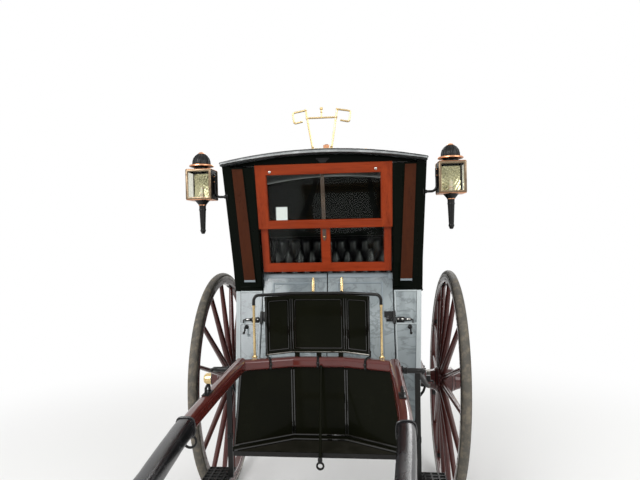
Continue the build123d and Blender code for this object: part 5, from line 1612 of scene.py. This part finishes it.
# %% Back mouldings
PEEP_X, PEEP_Z, PEEP_HALF_X, PEEP_HALF_Z = 0.403, 1.828, 0.050, 0.055
PEEP_EDGE = ((0, 0), (0, 0.004), (0.003, 0.006), (0.0055, 0.004), (0.0055, 0))
for z in (WAIST_Z, 1.640):
    line = [ahead_of_axle(x, BACK_REACH, z) for x in (-BODY_HALF + 0.004, BODY_HALF - 0.004)]
    mouldings.tube(line, 0.0078, 10)
for side in SIDES:
    middle = ahead_of_axle(side * PEEP_X, BACK_REACH - 0.0005, PEEP_Z)
    ring = [
        middle + Vector((u * PEEP_HALF_X, 0, v * PEEP_HALF_Z))
        for u, v in ((-1, -1), (-1, 1), (1, 1), (1, -1))
    ]
    mouldings.moulding(ring, BACK, PEEP_EDGE)
mouldings.made("body_mouldings", black_lacquer, "black_lacquer")

# %% [markdown]
# ## Hatch and rein guide
# The driver speaks to the passengers through a hatch in the roof, which has two strap hinges and a
# turned knob. In front of it stands the brass rein guide, with collars where its rods meet the roof
# and balls where they cross. Both sets are turned or bent from small stock, so the lathe makes them.

# %% Hatch hinges and knob
HATCH_KNOB = (
    (0, 0.014), (0.002, 0.0135), (0.004, 0.006), (0.010, 0.0055), (0.014, 0.010), (0.019, 0.0115),
    (0.024, 0.0085), (0.0255, 0.001),
)
hatch_low, hatch_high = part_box("hatch_lid")
hatch_irons = Shape()
for x in (-0.110, 0.110):
    hatch_irons.bar((x, hatch_low.y + 0.045, hatch_low.z + 0.0235), (0.026, 0.075, 0.003), 0.001)
    pin_y, pin_z = hatch_low.y + 0.004, hatch_low.z + 0.020
    hatch_irons.rod((x - 0.016, pin_y, pin_z), (x + 0.016, pin_y, pin_z), 0.0048, 12)
    for step in (0.020, 0.040, 0.060):
        screw = (x, hatch_low.y + step + 0.010, hatch_low.z + 0.0248)
        hatch_irons.dome(screw, UP, 0.0036, 0.0014, 8)
hatch_irons.turned((0, hatch_high.y - 0.040, hatch_low.z + 0.0223), UP, HATCH_KNOB, 24)
hatch_irons.made("hatch_irons", brass, "brass", "hatch")

# %% Rein guide fittings
GUIDE_Y, GUIDE_FOOT_X, GUIDE_HEAD_X, GUIDE_TOP, GUIDE_CROSS = AXLE_Y - 0.610, 0.050, 0.084, 0.212, 0.170
GUIDE_FOOT = ((0, 0.0105), (0.004, 0.0095), (0.008, 0.0062), (0.011, 0.0072), (0.014, 0.0052))
GUIDE_BEAD = ((0, 0.0042), (0.003, 0.0068), (0.006, 0.0042))
foot_z = roof_at(0)
cross = GUIDE_FOOT_X + (GUIDE_HEAD_X - GUIDE_FOOT_X) * GUIDE_CROSS / GUIDE_TOP
guide, block = Shape(), Shape()
for side in SIDES:
    guide.turned((side * GUIDE_FOOT_X, GUIDE_Y, foot_z + 0.004), UP, GUIDE_FOOT, 18)
    guide.dome((side * 0.030, GUIDE_Y - 0.008, foot_z + 0.0062), UP, 0.0042, 0.0018, 10)
    guide.ball((side * cross, GUIDE_Y, foot_z + GUIDE_CROSS), 0.0078, RIGHT, 12, 6)
    guide.ball((side * GUIDE_HEAD_X, GUIDE_Y, foot_z + GUIDE_TOP), 0.0068, RIGHT, 12, 6)
guide.turned((0, GUIDE_Y, foot_z + 0.196), UP, GUIDE_BEAD, 14)
guide.made("guide_collars", brass, "brass")
BLOCK_X, BLOCK_Y = 0.020, AXLE_Y - 0.560
block.bar((BLOCK_X, BLOCK_Y, roof_at(BLOCK_X) + 0.0175), (0.034, 0.028, 0.034), 0.004)
block.dome((BLOCK_X, BLOCK_Y, roof_at(BLOCK_X) + 0.034), UP, 0.009, 0.004)
block.made("rein_block", copper, "brass")
print("body done,", sum(tally.values()), "triangles so far")

# %% [markdown]
# ## Buttoned squabs
# The squab behind the passengers is horsehair under leather, pulled in by rows of buttons. The
# leather between them folds into tall diamonds. A cloth simulation would wrinkle at the buttons in
# ways that are hard to steer, so the surface is a sum: two families of slanting folds, deep dimples
# at the buttons, straight pleats above the top row, and a rounded edge.

# %% Buttoned leather
BUTTON_STEP, BUTTON_ROW, EDGE_ROUND, DIMPLE = 0.086, 0.113, 0.040, 0.15


def stuffed(across, up, half, foot, head, thickness, first_row, rows):
    """How far the leather stands out at a place on the squab."""
    inset = min(half - abs(across), up - foot, head - up)
    rim = math.sqrt(max(0.0, 1 - (1 - min(1.0, inset / EDGE_ROUND)) ** 2))
    level = (up - first_row) / BUTTON_ROW
    level = max(-0.5, min(level, rows - 1))
    first = across / BUTTON_STEP + level / 2
    second = across / BUTTON_STEP - level / 2
    folds = (abs(math.sin(math.pi * first)) * abs(math.sin(math.pi * second))) ** 0.42
    nearest = 1.0
    for row in (math.floor(level), math.floor(level) + 1):
        shift = 0.5 * (row % 2)
        column = round(across / BUTTON_STEP - shift) + shift
        nearest = min(nearest, math.hypot(across / BUTTON_STEP - column, (level - row) * 0.9))
    dimple = math.exp(-(nearest / DIMPLE) ** 2)
    return rim * thickness * (0.58 + 0.42 * folds - 0.30 * dimple)


def button_places(half, foot, head, first_row, rows):
    """Places of the buttons, every other row shifted by half a step."""
    for row in range(rows):
        shift = 0.5 * (row % 2)
        reach = int(half / BUTTON_STEP) + 2
        for column in range(-reach, reach + 1):
            across = (column + shift) * BUTTON_STEP
            up = first_row + row * BUTTON_ROW
            if abs(across) < half - 0.028 and foot + 0.03 < up < head - 0.02:
                yield across, up


def buttoned(shape, buttons, middle, across_way, out_way, half, foot, head, thickness, first_row, rows):
    """A buttoned pad with a flat back, standing out from a wall."""
    columns = int(2 * half / 0.0062)
    levels = int((head - foot) / 0.0075)
    grid = []
    for j in range(levels + 1):
        up = foot + (head - foot) * j / levels
        line = []
        for k in range(columns + 1):
            across = half * (2 * k / columns - 1)
            depth = stuffed(across, up, half, foot, head, thickness, first_row, rows)
            line.append(middle + across_way * across + out_way * depth + UP * up)
        grid.append(line)
    rows_made = shape.skin(grid, around=False, ended=False)
    low_edge, high_edge = rows_made[0], rows_made[-1][-2::-1]
    right_edge = [line[-1] for line in rows_made[1:]]
    left_edge = [line[0] for line in rows_made[-2:0:-1]]
    shape.mesh.faces.new(low_edge + right_edge + high_edge + left_edge)
    for across, up in button_places(half, foot, head, first_row, rows):
        depth = stuffed(across, up, half, foot, head, thickness, first_row, rows)
        place = middle + across_way * across + out_way * (depth - 0.001) + UP * up
        buttons.dome(place, out_way, 0.0085, 0.0050, 12)


print("a button every", BUTTON_STEP, "m, rows", BUTTON_ROW, "m apart")

# %% Back squab and side pads
squab, side_pads, buttons = Shape(), Shape(), Shape()
low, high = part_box("seat_squab")
pad = (high.x - 0.003, 1.004, high.z - 0.002, high.y - low.y, 1.120, 5)
buttoned(squab, buttons, BACK * high.y, RIGHT, FRONT, *pad)
low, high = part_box("side_squabs")
pad = ((high.y - low.y) / 2 - 0.002, low.z + 0.002, high.z - 0.002, 0.052, 1.150, 3)
for side in SIDES:
    wall = Vector((side * max(abs(low.x), abs(high.x)), (low.y + high.y) / 2, 0))
    buttoned(side_pads, buttons, wall, BACK, RIGHT * -side, *pad)
back_squab = squab.made("buttoned_squab", black_leather, "black_leather", crease=60)
side_leather = side_pads.made("side_pads", black_leather, "black_leather", crease=60)
buttons.made("squab_buttons", black_leather, "black_leather")
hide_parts("seat_squab")
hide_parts("side_squabs")
print("squabs:", tally["buttoned_squab"], "and", tally["side_pads"], "triangles")

# %% [markdown] ## Cushions The two loose cushions are soft boxes. Blender's cloth swells a
# slightly small copy of the solid from inside, which crowns the top and draws the sides in
# between the corners as real stuffing does. How far any point may go is capped, so the cushion
# keeps to its own space.

# %% Cushions by cloth
SHRINK, CELL, CLOTH_STEPS, PRESSURE, FOOT_GAP, CROWN = 0.006, 0.0065, 20, 4, 0.0004, 0.008


def swollen(node, name, finish, cap):
    """A cushion that swells from a slightly small copy of a solid and stands for it."""
    data = nodes[node].data.copy()
    cushion = bpy.data.objects.new(name, data)
    bpy.context.scene.collection.objects.link(cushion)
    low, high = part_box(node)
    middle, half = (low + high) / 2, (high - low) / 2
    for vertex in data.vertices:
        for k in range(3):
            vertex.co[k] = middle[k] + (vertex.co[k] - middle[k]) * (half[k] - SHRINK) / half[k]
        vertex.co.z -= SHRINK * 0.9
    remesh = cushion.modifiers.new("cells", "REMESH")
    remesh.mode = "VOXEL"
    remesh.voxel_size = CELL
    evaluated = cushion.evaluated_get(bpy.context.evaluated_depsgraph_get())
    cushion.data = bpy.data.meshes.new_from_object(evaluated)
    cushion.modifiers.clear()
    rest = [vertex.co.copy() for vertex in cushion.data.vertices]
    cloth = cushion.modifiers.new("stuffing", "CLOTH")
    cloth.settings.quality = 4
    cloth.settings.use_pressure = True
    cloth.settings.uniform_pressure_force = PRESSURE
    cloth.settings.effector_weights.gravity = 0
    cloth.point_cache.frame_start = 1
    cloth.point_cache.frame_end = CLOTH_STEPS
    for frame_number in range(1, CLOTH_STEPS + 1):
        bpy.context.scene.frame_set(frame_number)
    evaluated = cushion.evaluated_get(bpy.context.evaluated_depsgraph_get())
    grown = [vertex.co.copy() for vertex in evaluated.data.vertices]
    cushion.modifiers.clear()
    bpy.context.scene.frame_set(1)
    for vertex, start, end in zip(cushion.data.vertices, rest, grown):
        step = end - start
        if step.length > cap:
            step *= cap / step.length
        vertex.co = start + step
        vertex.co.z = max(vertex.co.z, low.z + FOOT_GAP)
        vertex.co.z = min(vertex.co.z, high.z + CROWN)
    smooth = bmesh.new()
    smooth.from_mesh(cushion.data)
    axes = {"use_axis_x": True, "use_axis_y": True, "use_axis_z": True}
    for _ in range(3):
        bmesh.ops.smooth_vert(smooth, verts=smooth.verts, factor=0.5, **axes)
    smooth.to_mesh(cushion.data)
    smooth.free()
    cushion.data.shade_smooth()
    dressed(cushion, finish)
    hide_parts(node)
    return cushion


seat = swollen("seat_cushion", "seat_pad", black_leather, 0.012)
perch = swollen("perch_cushion", "perch_pad", black_leather, 0.014)

# %% [markdown]
# ## Piping
# A cushion's cover is sewn together over a piped seam at its upper and its lower edge. The seam
# follows the swollen leather, so its points start on a softened square outside the cushion, at one
# height, and each drops to the nearest place on the surface.

# %% Piping round the cushions
PIPING_POINTS, SQUARENESS, OUTSIDE = 120, 0.25, 1.2


def piping(shape, cushion, node, levels):
    """Piping sewn round a cushion, laid on its surface at given heights of its solid."""
    points = [vertex.co for vertex in cushion.data.vertices]
    tree = BVHTree.FromPolygons(points, [face.vertices for face in cushion.data.polygons])
    low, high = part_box(node)
    middle, half = (low + high) / 2, (high - low) / 2
    for share in levels:
        line = []
        for k in range(PIPING_POINTS):
            u, v = squarish(2 * math.pi * k / PIPING_POINTS, SQUARENESS)
            x, y = middle.x + u * half.x * OUTSIDE, middle.y + v * half.y * OUTSIDE
            line.append(tree.find_nearest(Vector((x, y, low.z + (high.z - low.z) * share)))[0])
        shape.tube(line, 0.0035, 8, joined=True)


seams = Shape()
piping(seams, seat, "seat_cushion", (0.18, 0.86))
piping(seams, perch, "perch_cushion", (0.20, 0.84))
seams.made("cushion_piping", black_leather, "black_leather")

# %% [markdown]
# ## The driver's seat
# The driver sits high at the back on an iron frame. The irons are bolted to the back panel, the
# seat board has a moulded edge, the foot board has rubber ribs and brass-headed screws, and a whip
# socket with brass rims stands at one side.

# %% Perch fittings
POST_COLLAR = ((0, 0.015), (0.004, 0.015), (0.008, 0.010), (0.014, 0.0088))
SOCKET_BAND = ((0.002, 0.0192), (0.004, 0.0212), (0.012, 0.0212), (0.014, 0.0192))
IRON_X, POST_X, POST_Z, SOCKET_X, SOCKET_Y = 0.190, 0.238, 2.150, 0.265, AXLE_Y + 0.820
BOARD_Y, BOARD_HALF_X, BOARD_HALF_Y, BOARD_BEND = AXLE_Y + 0.835, 0.210, 0.125, 0.0405
perch_trim, perch_brass = Shape(), Shape()
board_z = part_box("perch_boards")[1].z - 0.010
corner_loop = []
for x, y, start in ((1, 1, 0), (-1, 1, 90), (-1, -1, 180), (1, -1, 270)):
    corner = (x * BOARD_HALF_X, BOARD_Y + y * BOARD_HALF_Y, board_z)
    corner_loop += arc(corner, RIGHT, BACK, BOARD_BEND, start, start + 90, 7)
perch_trim.tube(corner_loop, 0.0065, 8, joined=True)
for side in SIDES:
    for z in (1.200, 1.262, 1.324):
        perch_trim.dome((side * IRON_X, AXLE_Y + 0.4562, z), BACK, 0.0085, 0.006)
    perch_trim.bar((side * IRON_X, AXLE_Y + 0.4312, 1.262), (0.044, 0.0022, 0.190), 0.0008)
    for y in (AXLE_Y + 0.978, AXLE_Y + 0.820):
        perch_brass.turned((side * POST_X, y, POST_Z), UP, POST_COLLAR, 18)
    perch_brass.ball((side * POST_X, AXLE_Y + 0.8085, 2.350), 0.0125, BACK)
    for k in range(3):
        perch_brass.dome((side * 0.150, AXLE_Y + 0.480 + k * 0.090, 1.660), UP, 0.0055, 0.0022, 10)
perch_brass.turned((SOCKET_X, SOCKET_Y, 2.180), UP, SOCKET_BAND, 24)
perch_brass.tube(circle((SOCKET_X, SOCKET_Y, 2.308), RIGHT, BACK, 0.0178, 28), 0.0030, 8, joined=True)
perch_trim.made("perch_trim", black_iron, "black_iron")
perch_brass.made("perch_brasses", brass, "brass")

# %% Ribs of the foot board
RIBBED, RIB_STEP = 7, 0.052
apron = Shape()
for k in range(RIBBED):
    apron.bar((-0.156 + k * RIB_STEP, AXLE_Y + 0.565, 1.6612), (0.024, 0.240, 0.0024), 0.0008)
apron.made("foot_board_ribs", worn_rubber, "black_lacquer")
print("all pieces:", len(tally), "with", sum(tally.values()), "triangles")

# %% [markdown]
# ## Floor and light
# A pale floor and a soft sky of one tone keep colours honest. Far from the cab the floor fades to
# the white that the camera sees in the sky, so no horizon cuts the picture. One large lamp stands
# high in front and to the left, as the daylight does, a weaker one fills the other side, and a
# third lights the back for views from there.

# %% Floor
FLOOR_REACH, FADE_START, FADE_END, FADE_SCALE = 60, 1.3, 2.6, 0.55
floor = bpy.data.objects.new("floor", bpy.data.meshes.new("floor"))
bpy.context.scene.collection.objects.link(floor)
floor_corners = [(x * FLOOR_REACH, y * FLOOR_REACH, 0) for x, y in ((-1, -1), (1, -1), (1, 1), (-1, 1))]
floor.data.from_pydata(floor_corners, [], [(0, 1, 2, 3)])
pale = Finish("pale_floor", Base_Color=(0.82, 0.82, 0.81), Roughness=0.9, Specular_IOR_Level=0.1)
flat_place = pale.stretched((FADE_SCALE, FADE_SCALE, 0.0))
distance = pale.node("ShaderNodeVectorMath", {"operation": "LENGTH"}, {0: flat_place}, output="Value")
glow = pale.node("ShaderNodeEmission", None, {"Color": (1, 1, 1), "Strength": 1.0})
seen_directly = pale.node("ShaderNodeLightPath", output="Is Camera Ray")
seen_far = pale.between(distance, FADE_START, FADE_END) * seen_directly
pale.show(pale.node("ShaderNodeMixShader", None, {0: seen_far, 1: pale.surface, 2: glow}))
floor.data.materials.append(pale.material)
print("floor:", FLOOR_REACH * 2, "m square, white from", round(FADE_END / FADE_SCALE, 1), "m")

# %% Sky
SKY_ON_OBJECT, SKY_SEEN = 0.55, 1.0
world = bpy.data.worlds.new("studio")
bpy.context.scene.world = world
world.use_nodes = True
studio = NodeTree(world.node_tree)
sky = world.node_tree.nodes["Background"]
camera_ray, through_ray, glossy_ray = (
    studio.node("ShaderNodeLightPath", output=ray)
    for ray in ("Is Camera Ray", "Is Transmission Ray", "Is Glossy Ray")
)
shown = camera_ray + through_ray + glossy_ray
strength = studio.node("ShaderNodeMapRange", None, {0: shown, "To Min": SKY_ON_OBJECT, "To Max": SKY_SEEN})
studio.fill(sky.inputs["Strength"], strength)
studio.fill(sky.inputs["Color"], (1, 1, 1))
print("sky strength on the object:", SKY_ON_OBJECT)

# %% Lamps of the studio
def lamp(name, place, target, size, power):
    light = bpy.data.objects.new(name, bpy.data.lights.new(name, "AREA"))
    bpy.context.scene.collection.objects.link(light)
    light.data.size = size
    light.data.energy = power
    light.location = place
    light.rotation_euler = (Vector(target) - Vector(place)).to_track_quat("-Z", "Y").to_euler()


lamp("key", (-3.5, -5.0, 5.5), (0, 0.5, 1.0), 4.0, 420)
lamp("fill", (5.0, -3.0, 4.0), (0, 0.5, 1.0), 4.0, 160)
lamp("rear", (1.0, 6.5, 5.0), (0, 0.8, 1.2), 4.0, 220)
bpy.context.scene.view_settings.view_transform = "Standard"
print("lights:", len(bpy.data.lights))

# %% [markdown]
